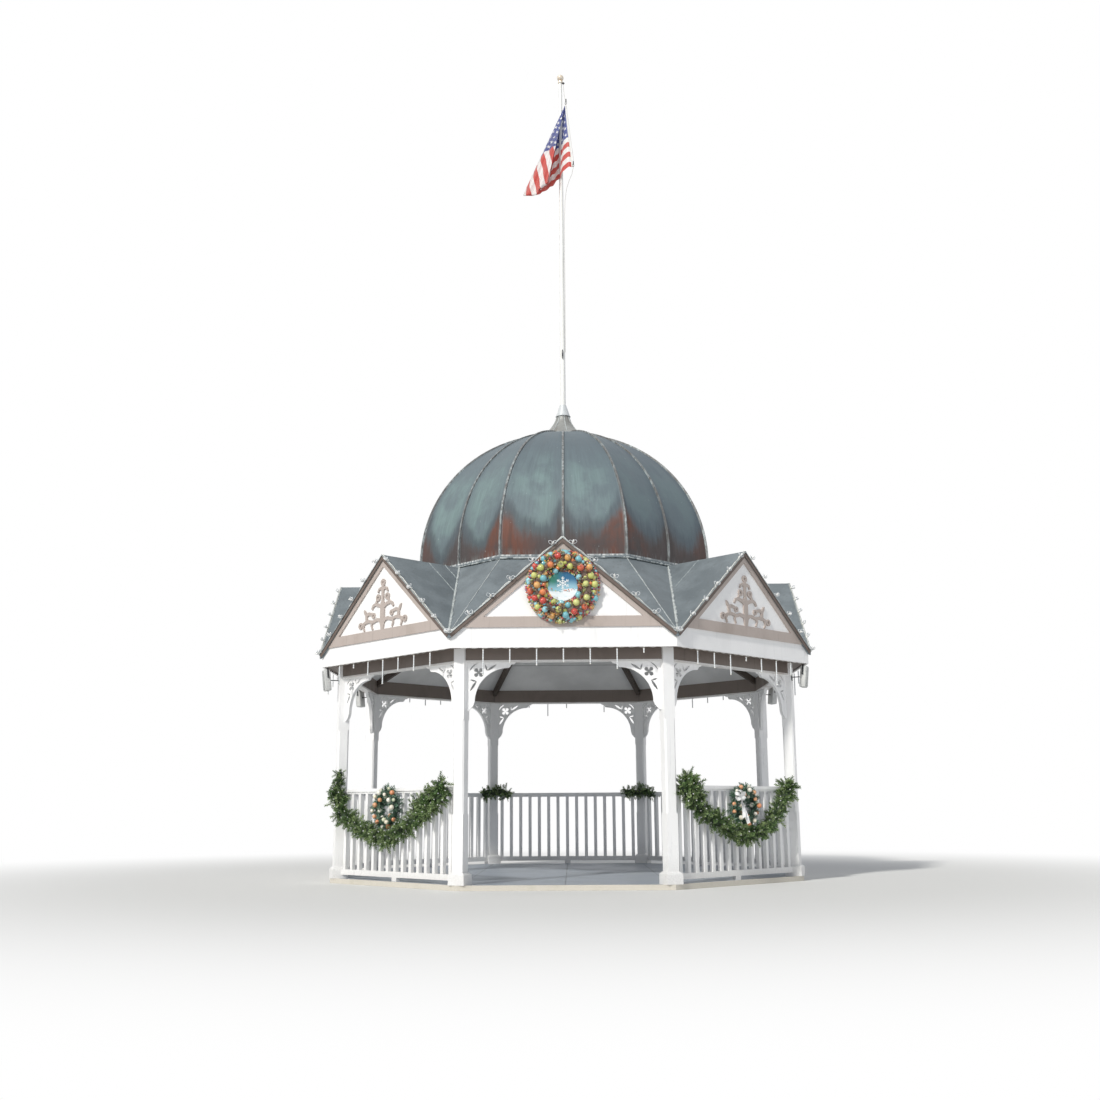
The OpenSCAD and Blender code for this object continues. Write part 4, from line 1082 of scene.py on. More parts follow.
# %% Balls, and small lamps on a sleeve
def ball_stamp(name, rings, sides):
    """A ball 1 m across, turned from half a circle."""
    half_circle = [(math.sin(a) * 0.5, -math.cos(a) * 0.5) for a in (k * math.pi / rings for k in range(rings + 1))]
    return stamp(shape(name, *lathe(half_circle, sides)))


ball = ball_stamp("ball", 9, 14)
small_ball = ball_stamp("small_ball", 5, 8)


def sleeve(name, runs, radius, sides=8):
    """A tube round each run, for things that are set on its outside."""
    points, faces = [], []
    rim = [m / sides * math.tau for m in range(sides)]
    for run in runs:
        first = len(points)
        for k, spot in enumerate(run):
            way = (run[min(k + 1, len(run) - 1)] - run[max(k - 1, 0)]).normalized()
            across = way.cross(Vector((0.31, 0.17, 0.2))).normalized()
            points += [spot + (across * math.cos(a) + way.cross(across) * math.sin(a)) * radius for a in rim]
        for k in range(len(run) - 1):
            for m in range(sides):
                a, b = first + k * sides + m, first + k * sides + (m + 1) % sides
                faces.append((a, b, b + sides, a + sides))
    return shape(name, points, faces)


small = {"Gap": 0.080, "Smallest": 0.010, "Largest": 0.018, "Ball": small_ball, "Seed": 14}
grow("swag_lamps", beads, sleeve("small_lamps", swags, 0.102), Finish=frosted_glass, **small)

# %% [markdown]
# **Baubles.** Satin-painted plastic balls in a few colours. Each ball carries one random number, and the finish turns
# that number into a colour by steps, so one finish serves a whole wreath. Satin paint on plastic is not a metal: it
# shows a broad soft highlight under a thin clear coat, and tiny dents and dust dull it here and there.

# %% Bauble finishes
def bauble_finish(name, colours, roughness=0.24):
    """Steps of colour by the number that each ball carries."""
    material, tree, shader, place = new_finish(name, roughness)
    tint = add(tree, "ShaderNodeAttribute", attribute_name="tint").outputs["Fac"]
    steps = add(tree, "ShaderNodeValToRGB", {0: tint})
    steps.color_ramp.interpolation = "CONSTANT"
    for k, colour in enumerate(colours):
        stop = steps.color_ramp.elements[0] if k == 0 else steps.color_ramp.elements.new(k / len(colours))
        stop.position = k / len(colours)
        stop.color = linear(colour)
    steps.color_ramp.elements.remove(steps.color_ramp.elements[-1])
    dust = ramp(tree, grain(tree, place, 11, detail=4.0, rough=0.7), 0.52, 0.78, 0.0, 0.45)
    tree.links.new(blend_colours(tree, dust, steps.outputs[0], "#CFCBBE"), shader.inputs["Base Color"])
    tree.links.new(ramp(tree, dust, 0.0, 0.4, roughness, roughness + 0.25), shader.inputs["Roughness"])
    shader.inputs["Coat Weight"].default_value = 0.6
    shader.inputs["Coat Roughness"].default_value = 0.08
    relief(tree, shader, grain(tree, place, 9), 0.25)
    finishes[name] = material
    return material


BRIGHT = ["#86C6D1", "#CDD279", "#E2844C", "#CE4538", "#D2D685", "#93CFDB", "#C8CD70", "#DB6543", "#74BAC6", "#E0A962"]
SMALL = ["#A8454F", "#D2A24E", "#A3AE6C", "#CC5A55", "#D9CDBE", "#8AB9C0", "#A0527A", "#D3BC86", "#B7A58C", "#D98A5E"]
bright_balls = bauble_finish("satin_baubles", BRIGHT)
small_balls = bauble_finish("small_mixed_baubles", SMALL, 0.4)
PALE = ["#E9E3CC", "#DFA377", "#F1EFE2", "#D98F62", "#D9DDBF", "#EFE8D6"]
pale_balls = bauble_finish("cream_and_peach_baubles", PALE)
print("bauble finishes ready")

# %% [markdown]
# **The wreath on the front gable.** Baubles of three sizes cover the front of a fat ring, over faded sprigs that
# stick out round the edge. The ring's front half is drawn as a surface, and the ball tree spreads balls on it that
# keep a set distance: first the big ones, then the middle and small ones a little deeper, which fill the gaps.

# %% Wreath on the gable
# It is as high as it fits under the roof's edges: its middle circle, half its thickness, and the gap that is left
WREATH_MID, WREATH_HALF, WREATH_GAP = 0.303, 0.1275, 0.031
WREATH_Z = RIDGE - (WREATH_MID + WREATH_HALF + WREATH_GAP) / math.cos(RAKE_ANGLE)
WREATH_FRONT = -WALL_AP - 0.020


def half_ring(name, centre, mid, wide, deep, side=0, turns=72, across=8):
    """The front half of a fat ring that lies against the wall behind it."""
    points, faces = [], []
    for k in range(turns):
        angle = k / turns * math.tau
        for m in range(across + 1):
            bend = m / across * math.pi
            out = mid - math.cos(bend) * wide
            x, z = centre[0] + out * math.cos(angle), centre[2] + out * math.sin(angle)
            points.append(to_side((x, centre[1] - math.sin(bend) * deep, z), side))
    for k in range(turns):
        for m in range(across):
            a, b = k * (across + 1) + m, (k + 1) % turns * (across + 1) + m
            faces.append((a, b, b + 1, a + 1))
    return shape(name, points, faces)


centre = (0.0, WREATH_FRONT - 0.020, WREATH_Z)
big = half_ring("big", centre, 0.304, 0.108, 0.100)
middling = half_ring("middling", centre, 0.305, 0.122, 0.078)
deep = half_ring("deep", centre, 0.306, 0.134, 0.074)
fine_balls = {"Ball": ball, "Finish": bright_balls}
hung = grow("wreath_baubles", beads, big, Gap=0.102, Smallest=0.074, Largest=0.088, Seed=11, **fine_balls)
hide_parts("wreath")
grow("wreath_middle_baubles", beads, middling, Gap=0.082, Smallest=0.040, Largest=0.054, Seed=42, **fine_balls)
coarse_balls = {"Ball": small_ball, "Finish": small_balls}
grow("wreath_small_baubles", beads, deep, Gap=0.023, Smallest=0.018, Largest=0.033, Seed=9, **coarse_balls)
turns = [k / 40 * math.tau for k in range(41)]
core = [(WREATH_MID * math.cos(a), centre[1] - 0.035, WREATH_Z + WREATH_MID * math.sin(a)) for a in turns]
sprigs = {"Core": 0.055, "Density": 620.0, "Tip": short_tip, "Lean": 0.7, "Seed": 2}
grow("wreath_sprigs", fir, paths("ring", [core]), Finish=dull_fir, **sprigs)

# %% [markdown]
# **The disc inside the wreath.** A round printed board with a plain snowbank under a blue sky, painted by the finish.
# The snow's upper edge is a sine wave worked out in the shader, so the line stays sharp at any size.

# %% Printed disc
# Ink printed on sheet metal: smooth, with a low gloss
board, tree, shader, place = new_finish("printed_winter_board", 0.35)
spot = add(tree, "ShaderNodeSeparateXYZ", {0: place})
swell = calc(tree, "MULTIPLY", calc(tree, "SINE", calc(tree, "MULTIPLY", spot.outputs["X"], 17.0)), 0.016)
bank = calc(tree, "SUBTRACT", calc(tree, "SUBTRACT", spot.outputs["Z"], WREATH_Z - 0.045), swell)
sky_tone = blend_colours(tree, ramp(tree, spot.outputs["X"], -0.13, 0.03), "#2F7A66", "#2F6A92")
sky_tone = blend_colours(tree, ramp(tree, bank, 0.01, 0.13), "#93C0D2", sky_tone)
flakes = ramp(tree, grain(tree, place, 9, detail=2.0), 0.70, 0.74, 0.0, 0.8)
snow_tone = blend_colours(tree, ramp(tree, grain(tree, place, 60, (3, 1, 1)), 0.4, 0.7), "#F2F6F8", "#CFE0E8")
tone = blend_colours(tree, ramp(tree, bank, -0.003, 0.003), snow_tone, blend_colours(tree, flakes, sky_tone, "#EEF4F6"))
tree.links.new(tone, shader.inputs["Base Color"])
relief(tree, shader, grain(tree, place, 4), 0.15)
# Cut vinyl sheet: plain white with hardly any texture
crystal_white, tree, shader, place = new_finish("white_cut_sheet", 0.45)
tone = blend_colours(tree, ramp(tree, grain(tree, place, 20, detail=3.0), 0.4, 0.7), "#F7F8F6", "#DDE2E4")
tree.links.new(tone, shader.inputs["Base Color"])
relief(tree, shader, grain(tree, place, 3), 0.15)
finishes.update({m.name: m for m in (board, crystal_white)})

raised_rim = [
    (0, -0.005), (0.176, -0.005), (0.1785, -0.002), (0.1785, 0.003), (0.175, 0.006), (0.168, 0.004), (0, 0.004),
]
points, faces = lathe(raised_rim, 64)
disc_y = WREATH_FRONT - 0.055
upright_disc = [(x, disc_y - z, WREATH_Z + y) for x, y, z in points]
disc = settle("winter_disc", shape("winter_disc", upright_disc, faces, board))
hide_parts("wreath_picture")
print("disc", round(max(p[0] for p in points) * 2000), "mm across")

# %% [markdown]
# **A crystal and a string of beads on the disc.** The six-armed snow crystal is cut from white sheet and stuck on,
# a bar for each arm and three pairs of short bars along it. Small coloured beads hang in a shallow curve across the
# snow. They are set by the ball tree on a narrow band.

# %% Snow crystal and beads
points, faces = [], []


def sliver(a, b, width, high):
    """A flat bar with pointed ends from a to b, on the disc."""
    run = (b - a).normalized()
    across = Vector((-run.y, run.x)) * width / 2
    start, stop = a + run * width, b - run * width
    outline = [a, start + across, stop + across, b, stop - across, start - across]
    first = len(points)
    for y in (disc_y - 0.003, disc_y - high):
        points.extend((p.x, y, WREATH_Z + 0.035 + p.y) for p in outline)
    faces.append(tuple(first + 6 + k for k in range(6)))
    faces.extend((first + k, first + (k + 1) % 6, first + 6 + (k + 1) % 6, first + 6 + k) for k in range(6))


for arm in range(6):
    turn = Matrix.Rotation(arm * math.tau / 6, 2)
    sliver(turn @ Vector((0, 0)), turn @ Vector((0, 0.082)), 0.0085, 0.0075)
    for foot, reach in ((0.026, 0.022), (0.050, 0.028), (0.068, 0.014)):
        for hand in (-1, 1):
            tip = Vector((hand * reach * 0.82, foot + reach * 0.57))
            sliver(turn @ Vector((0, foot)), turn @ tip, 0.006, 0.0068)
settle("snow_crystal", shape("snow_crystal", points, faces, crystal_white), smooth=False)
garland_line = [(x, WREATH_Z - 0.040 - 0.018 * math.cos(x * 12)) for x in (k * 0.01 - 0.14 for k in range(29))]
band = [(x, disc_y - 0.008, z + side) for x, z in garland_line for side in (-0.012, 0.012)]
strip = shape("band", band, [(2 * k, 2 * k + 2, 2 * k + 3, 2 * k + 1) for k in range(len(garland_line) - 1)])
string = {"Gap": 0.0175, "Smallest": 0.011, "Largest": 0.017, "Ball": small_ball, "Seed": 3}
grow("disc_beads", beads, strip, Finish=bright_balls, **string)
print("crystal of", len(faces) // 7, "bars")

# %% [markdown]
# **Small wreaths on the side railings.** Blue-green fir rings in front of the hand rail with cream and peach baubles.
# The swag passes in front of their feet. Dark fir is also tied round the two back posts at rail height.

# %% Wreaths on the railings and fir on the back posts
rings, posts = [], []
turns = [k / 30 * math.tau for k in range(31)]
for side, along in ((7, -0.075), (1, 0.075)):
    oval = [(along + 0.180 * math.cos(a), -POST_AP - 0.100, 0.935 + 0.190 * math.sin(a)) for a in turns]
    rings.append([to_side(spot, side) for spot in oval])
    face = half_ring("face", (along, -POST_AP - 0.105, 0.940), 0.185, 0.052, 0.082, side, 40)
    few = {"Gap": 0.092, "Smallest": 0.044, "Largest": 0.066, "Ball": ball, "Seed": side + 4}
    grow(f"rail_wreath_baubles_{side}", beads, face, Finish=pale_balls, **few)
dense = {"Core": 0.032, "Density": 2300.0, "Tip": short_tip, "Lean": 0.9, "Seed": 6}
hung = grow("rail_wreath_fir", fir, paths("rings", rings), Finish=blue_fir, **dense)
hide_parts("rail_wreaths")
# Round the inside of a post: across it, towards the middle of the building, and up
TIED = [
    (-0.22, 0.03, 1.12), (-0.15, 0.08, 1.20), (-0.09, 0.13, 1.21), (0.0, 0.145, 1.17),
    (0.09, 0.13, 1.20), (0.15, 0.08, 1.20), (0.22, 0.03, 1.14),
]
for corner in (3, 4):
    angle = post_angle(corner)
    middle = Vector((math.cos(angle), math.sin(angle), 0)) * POST_R
    along = Vector((-math.sin(angle), math.cos(angle), 0))
    inward = -middle.normalized()
    run = [middle + along * s + inward * (d + abs(s) * math.tan(HALF)) + Vector((0, 0, z)) for s, d, z in TIED]
    posts.append(curve_through(run, 4))
loose = {"Core": 0.035, "Density": 1500.0, "Tip": long_tip, "Lean": 0.8, "Seed": 8}
tied = grow("back_post_fir", fir, paths("posts", posts), Finish=green_fir, **loose)
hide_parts("back_bunches")

# %% [markdown]
# **The bow on the right wreath.** White ribbon, 42 mm wide: six loops gathered in a knot at the wreath's upper left,
# and two tails that hang across it. A loop runs out and comes back in front of itself.

# %% Ribbon bow
# Woven satin: a broad, soft sheen across each loop. Its threads are coarser than real ones, so that they show
ribbon_finish, tree, shader, place = new_finish("white_satin_ribbon", 0.4)
weave = grain(tree, place, 2.5, (1, 1, 6), 2.0)
tone = blend_colours(tree, ramp(tree, grain(tree, place, 40, detail=3.0), 0.4, 0.75), "#FAFAF8", "#DFE0E2")
tree.links.new(tone, shader.inputs["Base Color"])
shader.inputs["Sheen Weight"].default_value = 0.3
relief(tree, shader, weave, 0.2)
finishes[ribbon_finish.name] = ribbon_finish
RIBBON = 0.042
knot = Vector((-0.145, -POST_AP - 0.215, 1.060))
half_turn = [k / 16 * math.pi for k in range(17)]
strips = []
# Loops: the way that each points, in degrees, and its length
for lean, reach in ((165, 0.095), (20, 0.090), (212, 0.085), (-35, 0.080), (112, 0.070), (68, 0.065)):
    way = Vector((math.cos(math.radians(lean)), 0, math.sin(math.radians(lean))))
    wide = (Vector((0, -0.35, 0)) + Vector((-way.z, 0, way.x))).normalized() * RIBBON / 2
    puff = Vector((0, -0.026, 0))
    strips.append([(knot + way * reach * math.sin(t) + puff * math.sin(2 * t), wide) for t in half_turn])
TAILS = (
    [(0, 0), (0.012, -0.09), (0.045, -0.20), (0.085, -0.33)],
    [(0, 0), (-0.010, -0.08), (0.012, -0.17), (0.010, -0.26)],
)
for tail in TAILS:
    line = curve_through([(knot.x + x, knot.y - 0.010 + 0.10 * z, knot.z + z) for x, z in tail], 6)
    twist = [Vector((math.cos(k * 0.07), 0.5 * math.sin(k * 0.3), 0.25)) for k in range(len(line))]
    strips.append([(spot, across.normalized() * RIBBON / 2) for spot, across in zip(line, twist)])
points, faces, cut = [], [], 0.0
for strip in strips:
    first = len(points)
    for k, (spot, wide) in enumerate(strip):
        # A loop is gathered at both ends, a tail only where it leaves the knot
        from_knot = min(k, len(strip) - 1 - k) if len(strip) == len(half_turn) else k
        pinch = min(1.0, 0.45 + 0.2 * from_knot)
        points += [to_side(spot - wide * pinch, 1), to_side(spot, 1), to_side(spot + wide * pinch, 1)]
    for k in range(len(strip) - 1):
        a = first + 3 * k
        faces += [(a, a + 3, a + 4, a + 1), (a + 1, a + 4, a + 5, a + 2)]
        cut += (strip[k + 1][0] - strip[k][0]).length
bow_piece = settle("wreath_bow", shape("wreath_bow", points, faces, ribbon_finish))
turned, faces = lathe([(0, -0.02), (0.012, -0.014), (0.016, 0), (0.012, 0.014), (0, 0.02)], 12)
points = [to_side(knot + Vector((x * 0.8, y * 0.7 - 0.004, z)), 1) for x, y, z in turned]
settle("wreath_bow_knot", shape("wreath_bow_knot", points, faces, ribbon_finish))
print("ribbon", round(cut, 2), "m")

# %% [markdown]
# **The flag's shape.** A 4 by 6 ft flag hangs limp from its top hoist corner. Cloth doesn't stretch, so the shape is
# worked out as a folded flat sheet. Seen from the top corner, every point of the sheet keeps its distance, and its
# direction walks over a sphere exactly as far as it turns on the sheet, which is how paper rolls into a cone. The
# walk starts with the hoist edge in front of the pole, swings back and to the left, turns at the left edge, comes
# forward in front and goes back behind. Small pleats take up what is left of the quarter turn.

# %% Flag: the walk of the folds
HOIST, FLY = 1.22, 1.83
FLAG_TOP = Vector((0.078, -0.052, POLE_TIP - 0.400))
# Turn on the sheet from the hoist, then lean to the left and to the back, all in degrees, as is the turn per pleat
FOLDS = [
    (0, -5, -10), (5, -2, -10), (9, 1.5, -7), (15, 5, 1), (25, 11.5, 9), (35, 18, 9), (41, 22.3, 5), (45, 23.6, 0.5),
    (49, 21.3, -3), (55, 15.5, -6.5), (60, 11.6, -9), (63, 11.4, -6.5), (68, 14, -2.5), (76, 18.5, 0), (82, 17, 3.5),
    (90, 12.5, 7),
]
PLEAT_TURN = 6.4


def walk(pleat):
    """Directions along the walk, with pleats of this size, and the length walked up to each, in radians."""
    line = curve_through([(left, back, turn) for turn, left, back in FOLDS], 24)
    found, length = [], [0.0]
    for spot in line:
        # Pleats fade out at the two edges of the sheet
        fade = math.sin(math.radians(spot.z * 2)) ** 0.5 if 0 < spot.z < 90 else 0.0
        ripple = pleat * math.sin(spot.z / PLEAT_TURN * math.tau) * fade
        left, back = math.radians(spot.x), math.radians(spot.y + ripple)
        found.append(Vector((-math.sin(left) * math.cos(back), math.sin(back), -math.cos(left) * math.cos(back))))
        if len(found) > 1:
            length.append(length[-1] + found[-2].angle(found[-1]))
    return found, length


small, large = 0.0, 6.0
for _ in range(24):
    pleat = (small + large) / 2
    ways, walked = walk(pleat)
    small, large = (pleat, large) if walked[-1] < math.pi / 2 else (small, pleat)
print("pleats lean", round(pleat, 2), "degrees; the walk is", round(math.degrees(walked[-1]), 2), "degrees")

# %% [markdown]
# Low down the cloth turns up behind itself, along a line that looks level from the front. The camera looks up at the
# flag by 30 degrees, so that line is found square to its view. Past the line the cloth bends round a small radius
# and climbs behind itself, a little back, and a slow swell keeps the long folds from being dead straight.

# %% Flag: from flat cloth to its place
VIEW_SIN, VIEW_COS = 0.5, 0.87


def direction(turn):
    """Direction from the top corner for a line of the sheet at this turn from the hoist."""
    k = 1
    while k < len(walked) - 1 and walked[k] < turn:
        k += 1
    share = (turn - walked[k - 1]) / max(walked[k] - walked[k - 1], 1e-9)
    return ways[k - 1].lerp(ways[k], min(max(share, 0), 1)).normalized()


def hang(along, down):
    """Place of a point of the flag, measured along the fly and down the hoist from the top corner."""
    reach = math.hypot(along, down)
    turn = math.atan2(along, down)
    way = direction(turn)
    # How low the turn is below the top corner: less where the cloth hangs straight down, and less for the fly's part
    upright = min(max((0.33 - way.x / way.z) / 0.13, 0.0), 1.0)
    lowest = 1.325 - 0.11 * upright**2 - (0.07 if turn > 1.08 else 0.0)
    fold = lowest / (VIEW_SIN * way.y - VIEW_COS * way.z)
    past = max(0.0, reach - fold)
    # Round the bend, then up along the back
    bend = 0.024
    arc = min(past / bend, math.pi)
    straight = max(0.0, past - math.pi * bend)
    spot = FLAG_TOP + way * (min(reach, fold) + bend * math.sin(arc) - 0.97 * straight)
    spot.y += bend * (1 - math.cos(arc)) + 0.24 * straight
    puff = 0.010 * math.sin(reach * 9.0 + turn * 3.0) * min(reach, 1.0)
    spot += Vector((0.2, -1.0, 0.0)) * puff
    return spot


COLUMNS, ROWS = 132, 88
points = [hang(FLY * i / COLUMNS, HOIST * j / ROWS) for j in range(ROWS + 1) for i in range(COLUMNS + 1)]
faces = [
    (j * (COLUMNS + 1) + i, j * (COLUMNS + 1) + i + 1, (j + 1) * (COLUMNS + 1) + i + 1, (j + 1) * (COLUMNS + 1) + i)
    for j in range(ROWS)
    for i in range(COLUMNS)
]
cloth = shape("flag_cloth", points, faces)
uv = cloth.uv_layers.new(name="sheet")
for loop in cloth.loops:
    j, i = divmod(loop.vertex_index, COLUMNS + 1)
    uv.data[loop.index].uv = (i / COLUMNS, 1 - j / ROWS)
print("flag", round(max(p.z for p in points) - min(p.z for p in points), 2), "m from top to foot as it hangs")

# %% [markdown]
# **Flag finish.** The traditional flag of thirteen stripes and fifty stars, drawn on the sheet's own flat coordinates,
# so it follows every fold. A star is one straight edge repeated by mirroring five sectors. The cloth is nylon: a fine
# weave, thread by thread, a soft sheen, and some light coming through from behind.

# %% Flag finish
def star(tree, x, y, step_x, step_y, offset, radius):
    """1 inside the nearest star of a lattice that repeats every two steps."""
    near = []
    for value, step in ((x, step_x), (y, step_y)):
        cell = calc(tree, "ADD", calc(tree, "DIVIDE", value, 2 * step), -offset / 2)
        near.append(calc(tree, "MULTIPLY", calc(tree, "SUBTRACT", cell, calc(tree, "ROUND", cell)), 2 * step))
    turn = calc(tree, "ARCTAN2", near[0], near[1])
    sector = calc(tree, "PINGPONG", turn, math.radians(36))
    reach = calc(tree, "SQRT", calc(tree, "ADD", *[calc(tree, "MULTIPLY", part, part) for part in near]))
    # A star's edge leans by 18 degrees, whose sine and cosine these are
    out = calc(tree, "MULTIPLY", calc(tree, "COSINE", sector), 0.309)
    lean = calc(tree, "ADD", out, calc(tree, "MULTIPLY", calc(tree, "SINE", sector), 0.951))
    return calc(tree, "LESS_THAN", calc(tree, "MULTIPLY", reach, lean), 0.309 * radius)


flag_finish, tree, shader, place = new_finish("nylon_flag", 0.55)
sheet_uv = add(tree, "ShaderNodeUVMap", uv_map="sheet").outputs[0]
flat = add(tree, "ShaderNodeSeparateXYZ", {0: sheet_uv})
along = calc(tree, "MULTIPLY", flat.outputs[0], FLY)
rise = calc(tree, "MULTIPLY", flat.outputs[1], HOIST)
red_stripe = calc(tree, "LESS_THAN", calc(tree, "MODULO", calc(tree, "MULTIPLY", flat.outputs[1], 6.5), 1.0), 0.5)
canton_w, canton_h = 0.732, HOIST * 7 / 13
by_hoist = calc(tree, "LESS_THAN", along, canton_w)
in_canton = calc(tree, "MULTIPLY", by_hoist, calc(tree, "GREATER_THAN", rise, HOIST - canton_h))
up_canton = calc(tree, "SUBTRACT", rise, HOIST - canton_h)
STAR_R = 0.0365
steps = (canton_w / 12, canton_h / 10)
# Two lattices, one a step on from the other, give rows of six and of five
stars = calc(tree, "MAXIMUM", *[star(tree, along, up_canton, *steps, offset, STAR_R) for offset in (0, 1)])
for value, size, step in ((along, canton_w, steps[0]), (up_canton, canton_h, steps[1])):
    margin = step * 0.55
    past_edge = calc(tree, "GREATER_THAN", value, margin)
    inside = calc(tree, "MULTIPLY", past_edge, calc(tree, "LESS_THAN", value, size - margin))
    stars = calc(tree, "MULTIPLY", stars, inside)
tone = blend_colours(tree, red_stripe, "#F8F6F4", "#D2574F")
canton = blend_colours(tree, stars, "#515B9B", "#F8F7F5")
tone = blend_colours(tree, in_canton, tone, canton)
heading = calc(tree, "LESS_THAN", along, 0.016)
tone = blend_colours(tree, heading, tone, "#EFEDE6")
dull = grain(tree, sheet_uv, 220, detail=4.0)
tone = blend_colours(tree, ramp(tree, dull, 0.45, 0.8, 0.0, 0.25), tone, "#B9B2AC")
tree.links.new(tone, shader.inputs["Base Color"])
# Threads 0.9 mm apart, coarser than real ones, so that they show
threads = [calc(tree, "SINE", calc(tree, "MULTIPLY", value, math.tau / 0.0009)) for value in (along, rise)]
relief(tree, shader, calc(tree, "MULTIPLY", threads[0], threads[1]), 0.12)
shader.inputs["Sheen Weight"].default_value = 0.3
through = add(tree, "ShaderNodeBsdfTranslucent", {"Color": tone})
mixed = add(tree, "ShaderNodeMixShader", {0: 0.22, 1: shader.outputs[0], 2: through.outputs[0]})
tree.links.new(mixed.outputs[0], tree.nodes["Material Output"].inputs["Surface"])
finishes[flag_finish.name] = flag_finish
cloth.materials.append(flag_finish)
flag = settle("flag_cloth", cloth)
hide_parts("flag")
print("flag finish with", len(flag_finish.node_tree.nodes), "nodes")

# %% [markdown]
# **What holds the flag.** A white halyard runs down beside the pole from a pulley under the ball to a cleat above the
# collar. It is braided, so its finish is a fine slanting wave. The run passes close by both corners of the hoist.

# %% Halyard
# Blackened steel: a dark metal with narrow highlights
fittings, tree, shader, place = new_finish("dark_snap_metal", 0.35, 0.9)
tone = blend_colours(tree, ramp(tree, grain(tree, place, 12, detail=4.0), 0.4, 0.65), "#3A3B3D", "#5B5C5E")
tree.links.new(tone, shader.inputs["Base Color"])
relief(tree, shader, grain(tree, place, 4), 0.3)
rope, tree, shader, place = new_finish("braided_halyard", 0.75)
wave = {"Vector": place, "Scale": 60.0, "Distortion": 1.5}
braid = add(tree, "ShaderNodeTexWave", wave, bands_direction="DIAGONAL").outputs[1]
tree.links.new(blend_colours(tree, braid, "#D9D7D0", "#B7B4AB"), shader.inputs["Base Color"])
relief(tree, shader, braid, 0.6)
finishes.update({m.name: m for m in (fittings, rope)})
foot = FLAG_TOP + direction(0.0) * HOIST
halyard = curve_through(
    [
        (0.045, -0.032, POLE_TIP - 0.035),
        (0.060, -0.046, FLAG_TOP.z + 0.16),
        FLAG_TOP + Vector((0.006, -0.010, 0.02)),
        FLAG_TOP.lerp(foot, 0.5) + Vector((0.014, -0.016, 0)),
        foot + Vector((0.008, -0.010, -0.02)),
        (0.058, -0.040, foot.z - 0.45),
        (0.046, -0.026, CROWN + 2.2),
        (0.044, -0.040, CROWN + 1.30),
    ],
    4,
)
line = grow("halyard", bead, paths("halyard", [halyard]), Width=0.006, Ragged=0.0, Step=0.03, Grain=1.0, Finish=rope)

# %% [markdown]
# **Snaps, pulley and cleat.** Two dark snaps hook the corners of the flag to the rope. Each is a turned body with an
# oval ring at its foot. The pulley's wheel turns in a ring by the tip of the pole, and the rope is tied to a cleat
# with two horns. All are small turned or bent shapes, put together in one mesh because they share one dark metal.

# %% Snaps, pulley and cleat
points, faces = [], []


def put(shape_parts, matrix):
    """Adds a small shape, moved into place, to the lists that the next mesh is made of."""
    some, corners = shape_parts
    first = len(points)
    points.extend(matrix @ Vector(p) for p in some)
    faces.extend(tuple(first + i for i in face) for face in corners)


def ring_shape(radius, thick, turns=20, sides=6, stretch=1.0):
    """A closed ring in the XZ plane."""
    some, corners = [], []
    for k in range(turns):
        a = k / turns * math.tau
        for m in range(sides):
            b = m / sides * math.tau
            out = radius + thick * math.cos(b)
            some.append((out * math.cos(a), thick * math.sin(b), out * math.sin(a) * stretch))
    for k in range(turns):
        for m in range(sides):
            a, b = k * sides + m, (k + 1) % turns * sides + m
            corners.append((a, a - m + (m + 1) % sides, b - m + (m + 1) % sides, b))
    return some, corners


snap_profile = [
    (0, -0.028), (0.0075, -0.028), (0.0095, -0.020), (0.0075, 0.016), (0.0095, 0.022), (0.0045, 0.030), (0, 0.031),
]
pin = lathe(snap_profile, 12)
for corner_at in (FLAG_TOP, foot):
    at = Matrix.Translation(corner_at + Vector((0.006, -0.008, 0)))
    put(ring_shape(0.013, 0.0032, stretch=1.7), at @ Matrix.Translation((0, 0, 0.012)))
    put(pin, at @ Matrix.Translation((0.003, -0.002, 0.055)))
laid_over = Matrix.Rotation(math.pi / 2, 4, "X")
pulley = Matrix.Translation((0.046, -0.030, POLE_TIP - 0.022))
put(ring_shape(0.016, 0.0045), pulley)
put(lathe([(0, -0.006), (0.017, -0.006), (0.014, 0), (0.017, 0.006), (0, 0.006)], 16), pulley @ laid_over)
cleat = Matrix.Translation((0.0, -0.052, CROWN + 1.27))
horns = [(0, -0.075), (0.004, -0.073), (0.009, -0.045), (0.011, 0), (0.009, 0.045), (0.004, 0.073), (0, 0.075)]
put(lathe(horns, 12), cleat)
neck = lathe([(0, 0.0), (0.010, 0.0), (0.008, 0.016), (0, 0.018)], 10)
put(neck, cleat @ Matrix.Translation((0, 0.014, 0)) @ laid_over)
settle("halyard_snaps", shape("halyard_snaps", points, faces, fittings))
print("snaps, pulley and cleat:", len(faces), "faces")

# %% [markdown]
# **The copper trumpet under the pole.** It is bent from eight strips, and the folded joints between them stand up as
# pale ribs that flare with it. A thin line of solder closes it where it spreads onto the dome.

# %% Ribs and solder on the trumpet
def flare_point(turn, up, proud):
    """A point on the trumpet: its angle, and its height from foot (0) to neck (1)."""
    out = 0.096 + 0.225 * (1 - up) ** 1.6 + proud
    return Vector((out * math.sin(turn), -out * math.cos(turn), CROWN - 0.042 + 0.334 * up))


